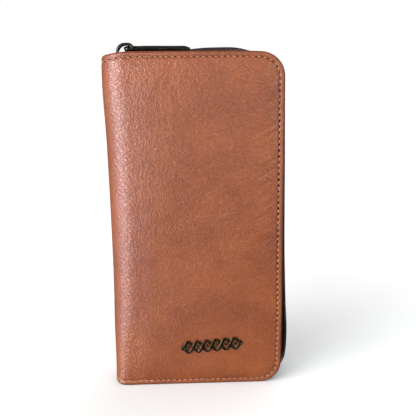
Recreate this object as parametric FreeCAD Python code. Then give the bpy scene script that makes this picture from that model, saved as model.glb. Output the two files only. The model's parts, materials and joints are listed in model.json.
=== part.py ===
"""Zip around wallet, standing on a short end.

Millimetres.  +Z is up along the wallet's length, the front cover faces -Y, the folded spine is
at -X and the free edge with the zip is at +X.  The origin is on the standing surface, at the
centre of the closed wallet's box.  All pieces are first made about the zip's mid-plane y = 0 and
are moved back by MID_Y when they are saved, because the ornament stands proud of the front only.
"""
import FreeCAD
import Part
import math
import os
from FreeCAD import Vector

# ---- driving dimensions -------------------------------------------------------------------
HEIGHT = 195.0            # length of the leather covers
COVER_WIDTH = 98.0        # spine apex to the covers' free edge
ZIP_BULGE = 5.5           # how far the closed zip stands beyond the free edge at its fullest
HALF_DEPTH = 12.3         # mid-plane to the outer face of a cover's stitched border
CROWN_RISE = 1.7          # how far the padded panel stands proud of the border
CORNER_R = 13.0           # rounded free corners of the covers
SKIN = 1.1                # leather with its backing
BORDER = 4.0              # flat stitched border between the edge and the padded panel
CROWN_RUN = 10.0          # width of the slope from the border to the full padding
TOP_SCOOP_R = 29.4        # the spine's edge drops in an arc at the top
BOTTOM_SCOOP_R = 60.0     # and lifts in a flatter arc at the bottom

SPINE_X = -(COVER_WIDTH + ZIP_BULGE) / 2
EDGE_X = SPINE_X + COVER_WIDTH
FOLD_X = SPINE_X + HALF_DEPTH          # where the spine's half circle meets the flat covers
FOLD_SPLIT = 45.0                      # the half circle bends here, degrees from the apex

# ---- layers of a cover, as distances from the mid-plane --------------------------------------
LIP_IN = 9.95             # turned leather edge
LIP_WIDTH = 2.2
BOARD_OUT = HALF_DEPTH - SKIN - 0.05
BOARD_IN = 9.95
TAPE_OUT = 9.90
TAPE_IN = 9.50
TAPE_HEM_OUTER = 1.2      # inset of the tape's sewn hem from the cover's edge
TAPE_HEM_INNER = 7.0
LINING_OUT = 9.45
LINING_IN = 9.00
LAYER_INSET = LIP_WIDTH + 0.2
CARD_LAYER = 0.50
CARD_GAP = 0.05
CARD_ROWS = 4
CARD_STEP = 10.0          # each card mouth stands this far behind the one below it
CARD_MOUTH_X = EDGE_X - 15.0
CARD_SPINE_X = FOLD_X + 5.5
CARD_END = 8.0            # card panels stop this far from the wallet's ends

# ---- coin pocket in the middle ---------------------------------------------------------------
POCKET_OUT = 2.3
POCKET_IN = 1.5
POCKET_SPINE_X = FOLD_X + 3.5
POCKET_MOUTH_X = EDGE_X - 24.0
POCKET_END = 8.0
LINING_R = HALF_DEPTH - SKIN - 0.05
LINING_THICK = 0.4

# ---- main zip ----------------------------------------------------------------------------------
COIL_WIDTH = 2.0          # one side of the coil, across the joint line
COIL_HEIGHT = 1.8
COIL_GAP = 0.06           # mid-plane to the coil
TAPE_THICK = 0.4
ZIP_START_X = SPINE_X + 9.6
SLIDER_X = SPINE_X + 12.35
SLIDER_DROP = 2.2         # slider's centre below the top edge of the covers
SLIDER_TILT = 3.0         # degrees, its run climbs toward the free edge
SLIDER_LENGTH = 10.8
SLIDER_NOSE_HALF = 4.2
SLIDER_TAIL_HALF = 3.4
PLATE_IN = 1.2
PLATE_OUT = 1.8
TAPE_SLOT_HALF = 0.7

PULL_PIN_RISE = 1.6       # above the covers' top edge
PULL_PIN_R = 0.75
PULL_LENGTH = 36.0
PULL_WIDTH = 6.0
PULL_THICK = 1.5
PULL_EYE_WIDTH = 3.2

# ---- ornament on the front -----------------------------------------------------------------------
ORNAMENT_X = EDGE_X - 41.0
ORNAMENT_Z = 26.5
ORNAMENT_LENGTH = 36.0
ORNAMENT_AMPLITUDE = 3.3
ORNAMENT_STRAND = 1.7
ORNAMENT_WAVES = 3
ORNAMENT_TILT = 4.0       # degrees, rising toward the free edge
ORNAMENT_PROUD = 1.0

MID_Y = ORNAMENT_PROUD / 2
PANEL_Y = -(HALF_DEPTH + CROWN_RISE)   # front of the padding


# ---- small helpers --------------------------------------------------------------------------------
def save(node, shape):
    """Write one node, moved so that the closed wallet's box is centred on the origin."""
    moved = shape.copy()
    moved.translate(Vector(0, MID_Y, 0))
    moved.exportStep(os.path.join("parts", node + ".step"))
    print(f"{node:28s} solids {len(moved.Solids)}  volume {moved.Volume:9.1f}  valid {moved.isValid()}")


def mirrored(shape):
    """The same piece on the other cover."""
    return shape.mirror(Vector(0, 0, 0), Vector(0, 1, 0))


def block(x0, x1, y0, y1, z0, z1):
    return Part.makeBox(x1 - x0, y1 - y0, z1 - z0, Vector(x0, y0, z0))


def line(a, b):
    return Part.LineSegment(a, b).toShape()


def arc(a, middle, b):
    return Part.Arc(a, middle, b).toShape()


def prism(points, direction):
    """A closed flat outline pushed along a direction."""
    return Part.Face(Part.makePolygon(points + points[:1])).extrude(direction)


def cover_outline(inset, left, y):
    """A cover's outline seen from the front: square at the spine, round at the free corners."""
    right = EDGE_X - inset
    low = inset
    high = HEIGHT - inset
    radius = CORNER_R - inset
    if radius < 1.0:
        radius = 1.0
    bend = radius * (1 - math.sqrt(0.5))
    corners = [
        Vector(left, y, low),
        Vector(right - radius, y, low),
        Vector(right - bend, y, low + bend),
        Vector(right, y, low + radius),
        Vector(right, y, high - radius),
        Vector(right - bend, y, high - bend),
        Vector(right - radius, y, high),
        Vector(left, y, high),
    ]
    return Part.Wire([
        line(corners[0], corners[1]),
        arc(corners[1], corners[2], corners[3]),
        line(corners[3], corners[4]),
        arc(corners[4], corners[5], corners[6]),
        line(corners[6], corners[7]),
        line(corners[7], corners[0]),
    ])


def cover_plate(inset, left, outer, inner):
    """A flat layer of the front cover between two distances from the mid-plane."""
    face = Part.Face(cover_outline(inset, left, -outer))
    return face.extrude(Vector(0, outer - inner, 0))


def pillow(inset, slope, base, top, left):
    """The padded panel: a low truncated loft over the cover."""
    foot = cover_outline(inset, left, -base)
    crest = cover_outline(inset + slope, left + slope, -top)
    return Part.makeLoft([foot, crest], True, True)


# ---- spine -------------------------------------------------------------------------------------------
def fold_point(radius, degrees):
    """A point of the spine's half circle; positive angles turn from the apex to the front."""
    angle = math.radians(degrees)
    return Vector(FOLD_X - radius * math.cos(angle), -radius * math.sin(angle), 0)


def fold_strip(inner, outer, start, end, z0, z1):
    """A bent sheet: part of the spine's half circle, standing from z0 to z1."""
    middle = (start + end) / 2
    edges = [
        arc(fold_point(outer, start), fold_point(outer, middle), fold_point(outer, end)),
        line(fold_point(outer, end), fold_point(inner, end)),
        arc(fold_point(inner, end), fold_point(inner, middle), fold_point(inner, start)),
        line(fold_point(inner, start), fold_point(outer, start)),
    ]
    face = Part.Face(Part.Wire(edges))
    face.translate(Vector(0, 0, z0))
    return face.extrude(Vector(0, 0, z1 - z0))


def scooped(shape):
    """Trim a spine piece so that its ends drop away in arcs toward the apex."""
    reach = HALF_DEPTH + 2
    top_box = block(SPINE_X - 1, FOLD_X, -reach, reach, HEIGHT - 5, HEIGHT + 1)
    top_round = Part.makeCylinder(TOP_SCOOP_R, 2 * reach, Vector(FOLD_X, -reach, HEIGHT - TOP_SCOOP_R),
                                  Vector(0, 1, 0))
    low_box = block(SPINE_X - 1, FOLD_X, -reach, reach, -1, 4)
    low_round = Part.makeCylinder(BOTTOM_SCOOP_R, 2 * reach, Vector(FOLD_X, -reach, BOTTOM_SCOOP_R),
                                  Vector(0, 1, 0))
    return shape.cut(top_box.cut(top_round)).cut(low_box.cut(low_round))


def make_spine():
    """The fixed middle of the spine, its lining, and the tabs that end the zip."""
    outer = HALF_DEPTH
    inner = HALF_DEPTH - SKIN
    save("spine_leather", scooped(fold_strip(inner, outer, -FOLD_SPLIT, FOLD_SPLIT, 0, HEIGHT)))
    lining_end = 5.0
    lining = fold_strip(LINING_R - LINING_THICK, LINING_R, 1 - FOLD_SPLIT, FOLD_SPLIT - 1,
                        lining_end, HEIGHT - lining_end)
    save("spine_lining", lining)
    tab_half = 4.5
    tab_x0 = SPINE_X + SKIN + 1.9
    tab_x1 = SLIDER_X - SLIDER_LENGTH / 2 - 0.4
    save("zip_end_tab_top", block(tab_x0, tab_x1, -tab_half, tab_half, 190.6, 191.8))
    save("zip_end_tab_bottom", block(tab_x0, ZIP_START_X - 0.4, -tab_half, tab_half, 2.2, 3.4))


# ---- covers ---------------------------------------------------------------------------------------------
def ornament_pins(radius):
    """Two pins that fix the ornament through the padding into the cover board."""
    pins = []
    for side in (-1, 1):
        reach = side * ORNAMENT_LENGTH * 0.36
        x = ORNAMENT_X + reach * math.cos(math.radians(ORNAMENT_TILT))
        z = ORNAMENT_Z + reach * math.sin(math.radians(ORNAMENT_TILT))
        length = HALF_DEPTH + CROWN_RISE - BOARD_IN - 0.3
        pins.append(Part.makeCylinder(radius, length, Vector(x, PANEL_Y, z), Vector(0, 1, 0)))
    return Part.makeCompound(pins)


def strand(phase, thickness):
    """One wavy strand of the ornament, as a flat bar following a sine."""
    half = ORNAMENT_LENGTH / 2 - 1.5
    steps = 8 * ORNAMENT_WAVES
    upper = []
    lower = []
    for i in range(steps + 1):
        t = i / steps
        x = -half + 2 * half * t
        angle = 2 * math.pi * ORNAMENT_WAVES * t + phase
        slope = ORNAMENT_AMPLITUDE * math.pi * ORNAMENT_WAVES / half * math.cos(angle)
        size = math.hypot(1, slope)
        centre = Vector(x, 0, ORNAMENT_AMPLITUDE * math.sin(angle))
        normal = Vector(-slope / size, 0, 1 / size) * (ORNAMENT_STRAND / 2)
        upper.append(centre + normal)
        lower.append(centre - normal)
    top = Part.BSplineCurve()
    top.interpolate(upper)
    bottom = Part.BSplineCurve()
    bottom.interpolate(lower)
    edges = [
        top.toShape(),
        line(upper[-1], lower[-1]),
        bottom.toShape(),
        line(lower[0], upper[0]),
    ]
    face = Part.Face(Part.Wire(Part.__sortEdges__(edges)))
    return face.extrude(Vector(0, thickness, 0))


def make_ornament():
    """An open braid of two metal strands between two round ends, and its fixing pins."""
    braid = strand(0, ORNAMENT_PROUD).fuse(strand(math.pi, ORNAMENT_PROUD))
    for side in (-1, 1):
        centre = Vector(side * (ORNAMENT_LENGTH / 2 - 1.6), 0, 0)
        braid = braid.fuse(Part.makeCylinder(1.6, ORNAMENT_PROUD, centre, Vector(0, 1, 0)))
    braid.rotate(Vector(0, 0, 0), Vector(0, -1, 0), ORNAMENT_TILT)
    braid.translate(Vector(ORNAMENT_X, PANEL_Y - ORNAMENT_PROUD, ORNAMENT_Z))
    save("ornament_braid", braid)
    save("ornament_pins", ornament_pins(0.55))


def cover_leather(holes):
    """Outer leather: a shallow tray with a turned lip and a raised panel over the padding."""
    skin_in = HALF_DEPTH - SKIN
    tray = cover_plate(0, FOLD_X, HALF_DEPTH, LIP_IN)
    pocket = cover_plate(LIP_WIDTH, FOLD_X - 1, skin_in, LIP_IN - 1)
    panel = pillow(BORDER, CROWN_RUN, HALF_DEPTH, HALF_DEPTH + CROWN_RISE, FOLD_X + 1)
    hollow = padding_form()
    return tray.cut(pocket).fuse(panel).cut(hollow).cut(holes).removeSplitter()


def padding_form():
    """The foam's shape, which the leather is hollowed for."""
    return pillow(BORDER + SKIN, CROWN_RUN, HALF_DEPTH - SKIN, HALF_DEPTH - SKIN + CROWN_RISE,
                  FOLD_X + 1 + SKIN)


def card_slots():
    """Stepped card panels on the lining, deepest first; each is one strip with two pockets."""
    strips = []
    for row in range(CARD_ROWS):
        outer = LINING_IN - CARD_GAP - row * (CARD_LAYER + CARD_GAP)
        mouth = CARD_MOUTH_X - row * CARD_STEP
        strips.append(block(CARD_SPINE_X, mouth, -outer, -outer + CARD_LAYER, CARD_END, HEIGHT - CARD_END))
    return strips


def make_cover_layers(name, place, holes):
    """Everything that a cover is laid up from, apart from the zip."""
    no_hole = Part.makeSphere(0.1, Vector(0, 100, 0))
    cutter = holes if holes else no_hole
    save(name + "_leather", place(cover_leather(cutter)))
    save(name + "_foam", place(padding_form().cut(cutter)))
    board = cover_plate(LAYER_INSET, FOLD_X + 1, BOARD_OUT, BOARD_IN)
    save(name + "_board", place(board.cut(cutter)))
    save(name + "_lining", place(cover_plate(LAYER_INSET, FOLD_X + 0.5, LINING_OUT, LINING_IN)))
    flex = fold_strip(HALF_DEPTH - SKIN, HALF_DEPTH, FOLD_SPLIT, 90, 0, HEIGHT)
    save(name + "_spine_flex", place(scooped(flex)))
    for row, strip in enumerate(card_slots(), start=1):
        save(f"{name}_card_slot_{row}", place(strip))


# ---- zip track round the free edges -----------------------------------------------------------------------
TOP_RUN = EDGE_X - CORNER_R - ZIP_START_X
CORNER_RUN = CORNER_R * math.pi / 2
SIDE_RUN = HEIGHT - 2 * CORNER_R
TRACK_LENGTH = 2 * TOP_RUN + 2 * CORNER_RUN + SIDE_RUN


def on_top(x):
    return x - ZIP_START_X


def on_side(z):
    return TOP_RUN + CORNER_RUN + HEIGHT - CORNER_R - z


def on_bottom(x):
    return TRACK_LENGTH - (x - ZIP_START_X)


# how far the coil's centre stands outside the covers' edge, at places along the track
COIL_OFFSETS = [
    (on_top(ZIP_START_X), -2.32),
    (on_top(SLIDER_X + 8), -1.8),
    (on_top(-18), -0.6),
    (on_top(-4), -0.25),
    (on_top(8), 0.35),
    (on_top(20), 0.1),
    (on_top(EDGE_X - CORNER_R), -1.2),
    (on_side(HEIGHT - CORNER_R), 1.1),
    (on_side(140), 1.7),
    (on_side(74), 2.5),
    (on_side(48), 3.5),
    (on_side(26), ZIP_BULGE - COIL_HEIGHT / 2),
    (on_side(CORNER_R), 3.9),
    (on_side(CORNER_R) + 0.55 * CORNER_RUN, 1.2),
    (on_bottom(EDGE_X - CORNER_R), -1.5),
    (on_bottom(15), -1.7),
    (on_bottom(ZIP_START_X), -2.0),
]


def coil_offset(s):
    """Smooth run through COIL_OFFSETS (a cubic with the neighbours' slopes)."""
    last = len(COIL_OFFSETS) - 1
    i = 0
    while i < last - 1 and s > COIL_OFFSETS[i + 1][0]:
        i += 1
    (s0, v0), (s1, v1) = COIL_OFFSETS[i], COIL_OFFSETS[i + 1]
    before = COIL_OFFSETS[max(i - 1, 0)]
    after = COIL_OFFSETS[min(i + 2, last)]
    slope0 = (v1 - before[1]) / (s1 - before[0])
    slope1 = (after[1] - v0) / (after[0] - s0)
    span = s1 - s0
    t = min(max((s - s0) / span, 0), 1)
    return (v0 * (1 + 2 * t) * (1 - t) ** 2 + v1 * t * t * (3 - 2 * t)
            + span * (slope0 * t * (1 - t) ** 2 - slope1 * t * t * (1 - t)))


def track_point(s):
    """A point of the covers' free edge and the outward direction there, in the XZ plane."""
    if s <= TOP_RUN:
        return Vector(ZIP_START_X + s, 0, HEIGHT), Vector(0, 0, 1)
    s -= TOP_RUN
    if s <= CORNER_RUN:
        angle = s / CORNER_R
        out = Vector(math.sin(angle), 0, math.cos(angle))
        return Vector(EDGE_X - CORNER_R, 0, HEIGHT - CORNER_R) + out * CORNER_R, out
    s -= CORNER_RUN
    if s <= SIDE_RUN:
        return Vector(EDGE_X, 0, HEIGHT - CORNER_R - s), Vector(1, 0, 0)
    s -= SIDE_RUN
    if s <= CORNER_RUN:
        angle = s / CORNER_R
        out = Vector(math.cos(angle), 0, -math.sin(angle))
        return Vector(EDGE_X - CORNER_R, 0, CORNER_R) + out * CORNER_R, out
    s -= CORNER_RUN
    return Vector(EDGE_X - CORNER_R - s, 0, 0), Vector(0, 0, -1)


def track_places(start):
    """Stations along the track, closer together round the corners."""
    breaks = [start, TOP_RUN, TOP_RUN + CORNER_RUN, TOP_RUN + CORNER_RUN + SIDE_RUN,
              TOP_RUN + 2 * CORNER_RUN + SIDE_RUN, TRACK_LENGTH]
    pieces = [12, 8, 18, 8, 8]
    places = [start]
    for a, b, count in zip(breaks, breaks[1:], pieces):
        places += [a + (b - a) * (i + 1) / count for i in range(count)]
    return places


def ribbon(places, section):
    """A strip with the given section at each place along the track."""
    wires = []
    for s in places:
        base, out = track_point(s)
        corners = [base + out * offset + Vector(0, y, 0) for offset, y in section(s)]
        wires.append(Part.makePolygon(corners + corners[:1]))
    return Part.makeLoft(wires, True, True)


def coil_section(s):
    centre = coil_offset(s)
    half = COIL_HEIGHT / 2
    near = -COIL_GAP
    far = -COIL_GAP - COIL_WIDTH
    return [(centre + half, near), (centre + half, far), (centre - half, far), (centre - half, near)]


def tape_section(s):
    """The hem that is sewn into the cover and the web that runs from it to the coil."""
    centre = coil_offset(s)
    near = -COIL_GAP - COIL_WIDTH - 0.02
    return [
        (-TAPE_HEM_INNER, -TAPE_OUT),
        (-TAPE_HEM_OUTER, -TAPE_OUT),
        (centre + TAPE_THICK / 2, near),
        (centre - TAPE_THICK / 2, near),
        (-TAPE_HEM_OUTER - TAPE_THICK, -TAPE_IN),
        (-TAPE_HEM_INNER, -TAPE_IN),
    ]


def make_zip(name, place):
    """One side of the zip: its tape and its coil."""
    tape_start = on_top(FOLD_X + 1)
    places = track_places(tape_start)
    places = [s for s in places if s <= on_bottom(FOLD_X + 1)]
    save(name + "_zip_tape", place(ribbon(places, tape_section)))
    save(name + "_zip_coil", place(ribbon(track_places(0.0), coil_section)))


# ---- slider and puller --------------------------------------------------------------------------------------
def tilted(shape):
    """Lay a slider piece, made level about the origin, on its climbing run."""
    shape.rotate(Vector(0, 0, 0), Vector(0, -1, 0), SLIDER_TILT)
    shape.translate(Vector(SLIDER_X, 0, HEIGHT - SLIDER_DROP))
    return shape


def slider_outline(margin, z, height):
    """The slider's plan: wide at the nose, narrower at the tail, with cut corners."""
    nose = -SLIDER_LENGTH / 2 + margin
    tail = SLIDER_LENGTH / 2 - margin
    wide = SLIDER_NOSE_HALF - margin
    slim = SLIDER_TAIL_HALF - margin
    half = [(nose, wide - 1.6), (nose + 1.2, wide), (nose + 4.0, wide), (tail - 0.8, slim), (tail, slim - 0.8)]
    points = [Vector(x, y, z) for x, y in half] + [Vector(x, -y, z) for x, y in reversed(half)]
    return prism(points, Vector(0, 0, height))


def make_slider():
    """Two plates with turned flanges, joined by the wedge at the nose."""
    flange = 0.7
    body = slider_outline(0, -PLATE_OUT, 2 * PLATE_OUT)
    inside = slider_outline(flange, -PLATE_IN, 2 * PLATE_IN)
    reach = SLIDER_LENGTH
    slot = block(-reach, reach, -reach, reach, -TAPE_SLOT_HALF, TAPE_SLOT_HALF)
    mouth_half = SLIDER_TAIL_HALF - flange
    throat = block(-reach, reach, -mouth_half, mouth_half, -PLATE_IN, PLATE_IN)
    body = body.cut(inside).cut(slot).cut(throat)
    nose = -SLIDER_LENGTH / 2
    wedge = prism([Vector(nose + 0.3, -1.0, -PLATE_IN - 0.2), Vector(nose + 2.4, -0.3, -PLATE_IN - 0.2),
                   Vector(nose + 2.4, 0.3, -PLATE_IN - 0.2), Vector(nose + 0.3, 1.0, -PLATE_IN - 0.2)],
                  Vector(0, 0, 2 * PLATE_IN + 0.4))
    save("zip_slider", tilted(body.fuse(wedge).removeSplitter()))
    foot_z = HEIGHT - SLIDER_DROP + PLATE_OUT
    save("zip_slider_crown", crown(SLIDER_X, foot_z, HEIGHT + 4.2))


def crown(x, foot_z, peak_z):
    """The tall arched loop on the slider that carries the puller."""
    rise = peak_z - foot_z
    thick = 0.9
    width = 2.6
    path = [(-4.7, -0.25), (-3.6, 0.42), (-0.6, 0.93), (1.5, 0.98), (3.6, 0.72), (4.35, 0.3), (4.5, 0.05)]
    outer = [Vector(x + dx, -width / 2, foot_z + share * rise) for dx, share in path]
    inner_path = [(4.5 - thick, 0.05), (4.35 - thick, 0.28), (3.1, 0.55), (1.3, 0.76), (-0.5, 0.72),
                  (-2.9, 0.3), (-4.7 + thick * 1.3, -0.25)]
    inner = [Vector(x + dx, -width / 2, foot_z + share * rise) for dx, share in inner_path]
    top = Part.BSplineCurve()
    top.interpolate(outer)
    under = Part.BSplineCurve()
    under.interpolate(inner)
    edges = [top.toShape(), line(outer[-1], inner[0]), under.toShape(), line(inner[-1], outer[0])]
    face = Part.Face(Part.Wire(edges))
    arch = face.extrude(Vector(0, width, 0))
    plate_half = SLIDER_LENGTH
    below = block(-plate_half, plate_half, -plate_half, plate_half, -3, PLATE_OUT)
    return arch.cut(tilted(below))


def make_puller():
    """A long slim bar with an eye round the crown, a pin under it and a finger slot."""
    pin_z = HEIGHT + PULL_PIN_RISE
    base = pin_z - PULL_THICK / 2
    end = SLIDER_X + PULL_LENGTH - 1.0
    half = PULL_WIDTH / 2
    start = SLIDER_X - 1.0
    bar = block(start, end, -half, half, base, base + PULL_THICK)
    long_edges = [edge for edge in bar.Edges if abs(edge.Length - PULL_THICK) < 0.01]
    bar = bar.makeFillet(1.0, long_edges)
    eye = block(SLIDER_X + 0.1, SLIDER_X + 6.4, -PULL_EYE_WIDTH / 2, PULL_EYE_WIDTH / 2, base - 1, pin_z + 2)
    behind = block(start - 1, SLIDER_X - 0.1, -PULL_EYE_WIDTH / 2, PULL_EYE_WIDTH / 2, base - 1, pin_z + 2)
    slot = block(SLIDER_X + 12, end - 4, -0.9, 0.9, base + PULL_THICK - 0.5, pin_z + 2)
    pin = Part.makeCylinder(PULL_PIN_R, PULL_EYE_WIDTH + 1, Vector(SLIDER_X, -PULL_EYE_WIDTH / 2 - 0.5, pin_z),
                            Vector(0, 1, 0))
    save("zip_puller", bar.cut(eye).cut(behind).cut(slot).fuse(pin).removeSplitter())


# ---- coin pocket --------------------------------------------------------------------------------------------
COIN_COIL_X = POCKET_MOUTH_X + 6.0
COIN_COIL_THICK = 1.4
COIN_ZIP_LOW = 14.0
COIN_ZIP_HIGH = HEIGHT - 14.0
COIN_SLIDER_LENGTH = 8.0
COIN_SLIDER_Z = COIN_ZIP_HIGH - 6.0


def make_coin_pocket():
    """Two walls held to the spine by a strip, closed along their free edges by a small zip."""
    low = POCKET_END
    high = HEIGHT - POCKET_END
    wall = block(POCKET_SPINE_X, POCKET_MOUTH_X, -POCKET_OUT, -POCKET_IN, low, high)
    save("coin_pocket_front_wall", wall)
    save("coin_pocket_back_wall", mirrored(wall))
    stem_half = 0.4
    lining_in = FOLD_X - LINING_R + LINING_THICK
    stem = block(lining_in + 0.05, POCKET_SPINE_X, -stem_half, stem_half, low, high)
    spacer = block(POCKET_SPINE_X, POCKET_SPINE_X + 3, -POCKET_IN, POCKET_IN, low, high)
    save("coin_pocket_spine_strip", stem.fuse(spacer).removeSplitter())
    tape = block(POCKET_MOUTH_X, COIN_COIL_X, -POCKET_OUT, -POCKET_OUT + 0.4, low, high)
    save("coin_zip_tape_front", tape)
    save("coin_zip_tape_back", mirrored(tape))
    coil = block(COIN_COIL_X - COIN_COIL_THICK, COIN_COIL_X, -1.7, -0.05, COIN_ZIP_LOW, COIN_SLIDER_Z + 1.8)
    save("coin_zip_coil_front", coil)
    save("coin_zip_coil_back", mirrored(coil))


def make_coin_slider():
    """A small slider whose outer plate faces the free edge, and its hanging puller."""
    z0 = COIN_SLIDER_Z - COIN_SLIDER_LENGTH / 2
    z1 = COIN_SLIDER_Z + COIN_SLIDER_LENGTH / 2
    plate_x = COIN_COIL_X + 0.3
    outer = block(plate_x, plate_x + 0.6, -3.0, 3.0, z0, z1)
    flanges = block(COIN_COIL_X - 0.9, plate_x, 2.45, 3.0, z0, z1)
    inner_x = COIN_COIL_X - COIN_COIL_THICK - 0.3
    inner = block(inner_x - 0.6, inner_x, -1.3, 1.3, z0, z1)
    post = block(inner_x, plate_x, -0.5, 0.5, z1 - 1.8, z1 - 0.4)
    body = outer.fuse([flanges, mirrored(flanges), inner, post]).removeSplitter()
    save("coin_zip_slider", body)
    crown_x = plate_x + 0.6
    loop = block(crown_x, crown_x + 2.9, -0.8, 0.8, z0 + 1.0, z1 - 1.0)
    opening = block(crown_x - 1, crown_x + 2.1, -1, 1, z0 + 1.8, z1 - 1.8)
    save("coin_zip_slider_crown", loop.cut(opening))
    pin_z = COIN_SLIDER_Z + 0.3
    pin_x = crown_x + 1.1
    arms = block(pin_x - 0.5, pin_x + 0.5, -2.0, 2.0, pin_z - 16.0, pin_z + 0.8)
    eye = block(pin_x - 1, pin_x + 1, -1.1, 1.1, pin_z - 5.0, pin_z + 1.0)
    hole = block(pin_x - 1, pin_x + 1, -0.9, 0.9, pin_z - 14.0, pin_z - 8.0)
    pin = Part.makeCylinder(0.5, 3.0, Vector(pin_x, -1.5, pin_z), Vector(0, 1, 0))
    save("coin_zip_puller", arms.cut(eye).cut(hole).fuse(pin).removeSplitter())


# ---- gussets --------------------------------------------------------------------------------------------------
GUSSET_LENGTH = 40.0
GUSSET_DEPTH = 14.0
GUSSET_THICK = 0.4


def gusset(end_z, inward):
    """A V folded strip between a cover and the coin pocket, closing one end near the spine."""
    outer_y = -(LINING_IN - CARD_ROWS * (CARD_LAYER + CARD_GAP)) + 0.1
    inner_y = -POCKET_OUT - 0.1
    middle_y = (outer_y + inner_y) / 2
    t = GUSSET_THICK
    x = CARD_SPINE_X
    fold_z = end_z + inward * GUSSET_DEPTH
    points = [
        Vector(x, outer_y, end_z),
        Vector(x, outer_y + t, end_z),
        Vector(x, middle_y, fold_z - inward * 2.4),
        Vector(x, inner_y - t, end_z),
        Vector(x, inner_y, end_z),
        Vector(x, middle_y + t / 2, fold_z),
        Vector(x, middle_y - t / 2, fold_z),
    ]
    return prism(points, Vector(GUSSET_LENGTH, 0, 0))


def make_gussets():
    low = gusset(POCKET_END, 1)
    high = gusset(HEIGHT - POCKET_END, -1)
    save("gusset_front_top", high)
    save("gusset_front_bottom", low)
    save("gusset_back_top", mirrored(high))
    save("gusset_back_bottom", mirrored(low))


def main():
    os.makedirs("parts", exist_ok=True)
    make_spine()
    make_cover_layers("front", lambda shape: shape, ornament_pins(0.6))
    make_cover_layers("back", mirrored, None)
    make_zip("front", lambda shape: shape)
    make_zip("back", mirrored)
    make_ornament()
    make_slider()
    make_puller()
    make_coin_pocket()
    make_coin_slider()
    make_gussets()


main()
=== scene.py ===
"""Looks of the zip around wallet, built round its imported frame.

Shapes are worked out in millimetres and scaled to metres as each mesh is made.  A cover and its half
of the spine are one sheet of leather: "along" runs from the spine's apex round the fold and across
the cover to its free edge, "up" is the height, and "rise" stands off the leather's outer face.
"""
import json
import math

import bpy
import numpy as np
from mathutils import Matrix, Vector, noise


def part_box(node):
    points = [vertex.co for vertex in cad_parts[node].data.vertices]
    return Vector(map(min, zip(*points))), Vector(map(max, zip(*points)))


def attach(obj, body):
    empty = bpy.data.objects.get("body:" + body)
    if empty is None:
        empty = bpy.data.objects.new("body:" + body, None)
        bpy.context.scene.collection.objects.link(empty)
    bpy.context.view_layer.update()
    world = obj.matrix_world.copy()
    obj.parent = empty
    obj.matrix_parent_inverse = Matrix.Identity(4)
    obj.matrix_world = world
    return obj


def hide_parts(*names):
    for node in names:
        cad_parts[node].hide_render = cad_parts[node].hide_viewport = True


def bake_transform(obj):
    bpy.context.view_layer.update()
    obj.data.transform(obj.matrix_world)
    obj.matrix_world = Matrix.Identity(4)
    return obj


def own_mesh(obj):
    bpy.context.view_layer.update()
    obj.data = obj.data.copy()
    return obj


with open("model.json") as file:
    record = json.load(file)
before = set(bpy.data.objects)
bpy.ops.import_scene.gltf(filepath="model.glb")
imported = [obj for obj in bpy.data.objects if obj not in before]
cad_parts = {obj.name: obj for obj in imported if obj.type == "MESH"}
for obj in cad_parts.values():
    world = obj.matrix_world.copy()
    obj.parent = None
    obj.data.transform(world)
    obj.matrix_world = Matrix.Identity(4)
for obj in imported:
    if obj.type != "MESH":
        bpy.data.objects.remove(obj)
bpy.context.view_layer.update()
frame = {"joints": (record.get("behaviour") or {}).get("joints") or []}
MM = 0.001


def span(node):
    """A CAD node's box in millimetres."""
    low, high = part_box(node)
    return low / MM, high / MM


# ---- sizes taken from the frame, in millimetres ----
FOLD_X = span("front_leather")[0].x
EDGE_X = span("front_leather")[1].x
HEIGHT = span("front_leather")[1].z
SPINE_X = span("spine_leather")[0].x
SLIDER_LOW, SLIDER_HIGH = span("zip_slider")
SLIDER_X = (SLIDER_LOW.x + SLIDER_HIGH.x) / 2
MID_Y = (SLIDER_LOW.y + SLIDER_HIGH.y) / 2
FOLD_R = FOLD_X - SPINE_X
PANEL_RISE = MID_Y - span("front_leather")[0].y - FOLD_R
FOLD_RUN = FOLD_R * math.pi / 2
WIDTH = FOLD_RUN + EDGE_X - FOLD_X
JOINTS = {joint["name"]: joint for joint in frame["joints"]}

# ---- sizes of the sewn leather ----
CORNER_R = 13.0
STITCH_INSET = 2.9         # the seam's distance from the sewn edge
STITCH_PITCH = 3.3
STITCH_SLANT = 0.16
THREAD_R = 0.25
EDGE_ROLL_R = 1.17         # how round the turned edge is
TOP_SCOOP_R = 29.4         # the spine's ends dip below the covers, as arcs
BOTTOM_SCOOP_R = 60.0
FREE_CORNER_DROP = 0.7
FOLD_SWELL = 2.7           # how far the padded fold leans over the cover
SPINE_PADDING = 0.35
SEAM_GROOVE, SEAM_GROOVE_WIDTH = -0.3, 0.65
SOFT_HOLLOWS, SEAM_PULLS, RIPPLES = 0.16, 0.05, 0.16
WRINKLE_SHARE = 0.14       # how much of the puffed cloth's wrinkling the leather shows
SIDES = {"front": -1, "back": 1}


# ---- meshes ----
def link(item):
    """Put an object in the scene."""
    bpy.context.scene.collection.objects.link(item)
    return item


def add_mesh(name, points, faces, material, coords=None, tone=None):
    """A smooth object from points in millimetres, with its pattern's coordinates and its painted shade."""
    points = np.asarray(points, float)
    mesh = bpy.data.meshes.new(name)
    mesh.from_pydata((points * MM).tolist(), [], faces)
    flat = np.asarray(points if coords is None else coords, np.float32).ravel()
    mesh.attributes.new("rest", "FLOAT_VECTOR", "POINT").data.foreach_set("vector", flat)
    painted_shades = np.zeros(len(points), np.float32) if tone is None else np.asarray(tone, np.float32)
    mesh.attributes.new("tone", "FLOAT", "POINT").data.foreach_set("value", painted_shades)
    mesh.polygons.foreach_set("use_smooth", [True] * len(mesh.polygons))
    mesh.materials.append(material)
    mesh.update()
    return link(bpy.data.objects.new(name, mesh))


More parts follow.
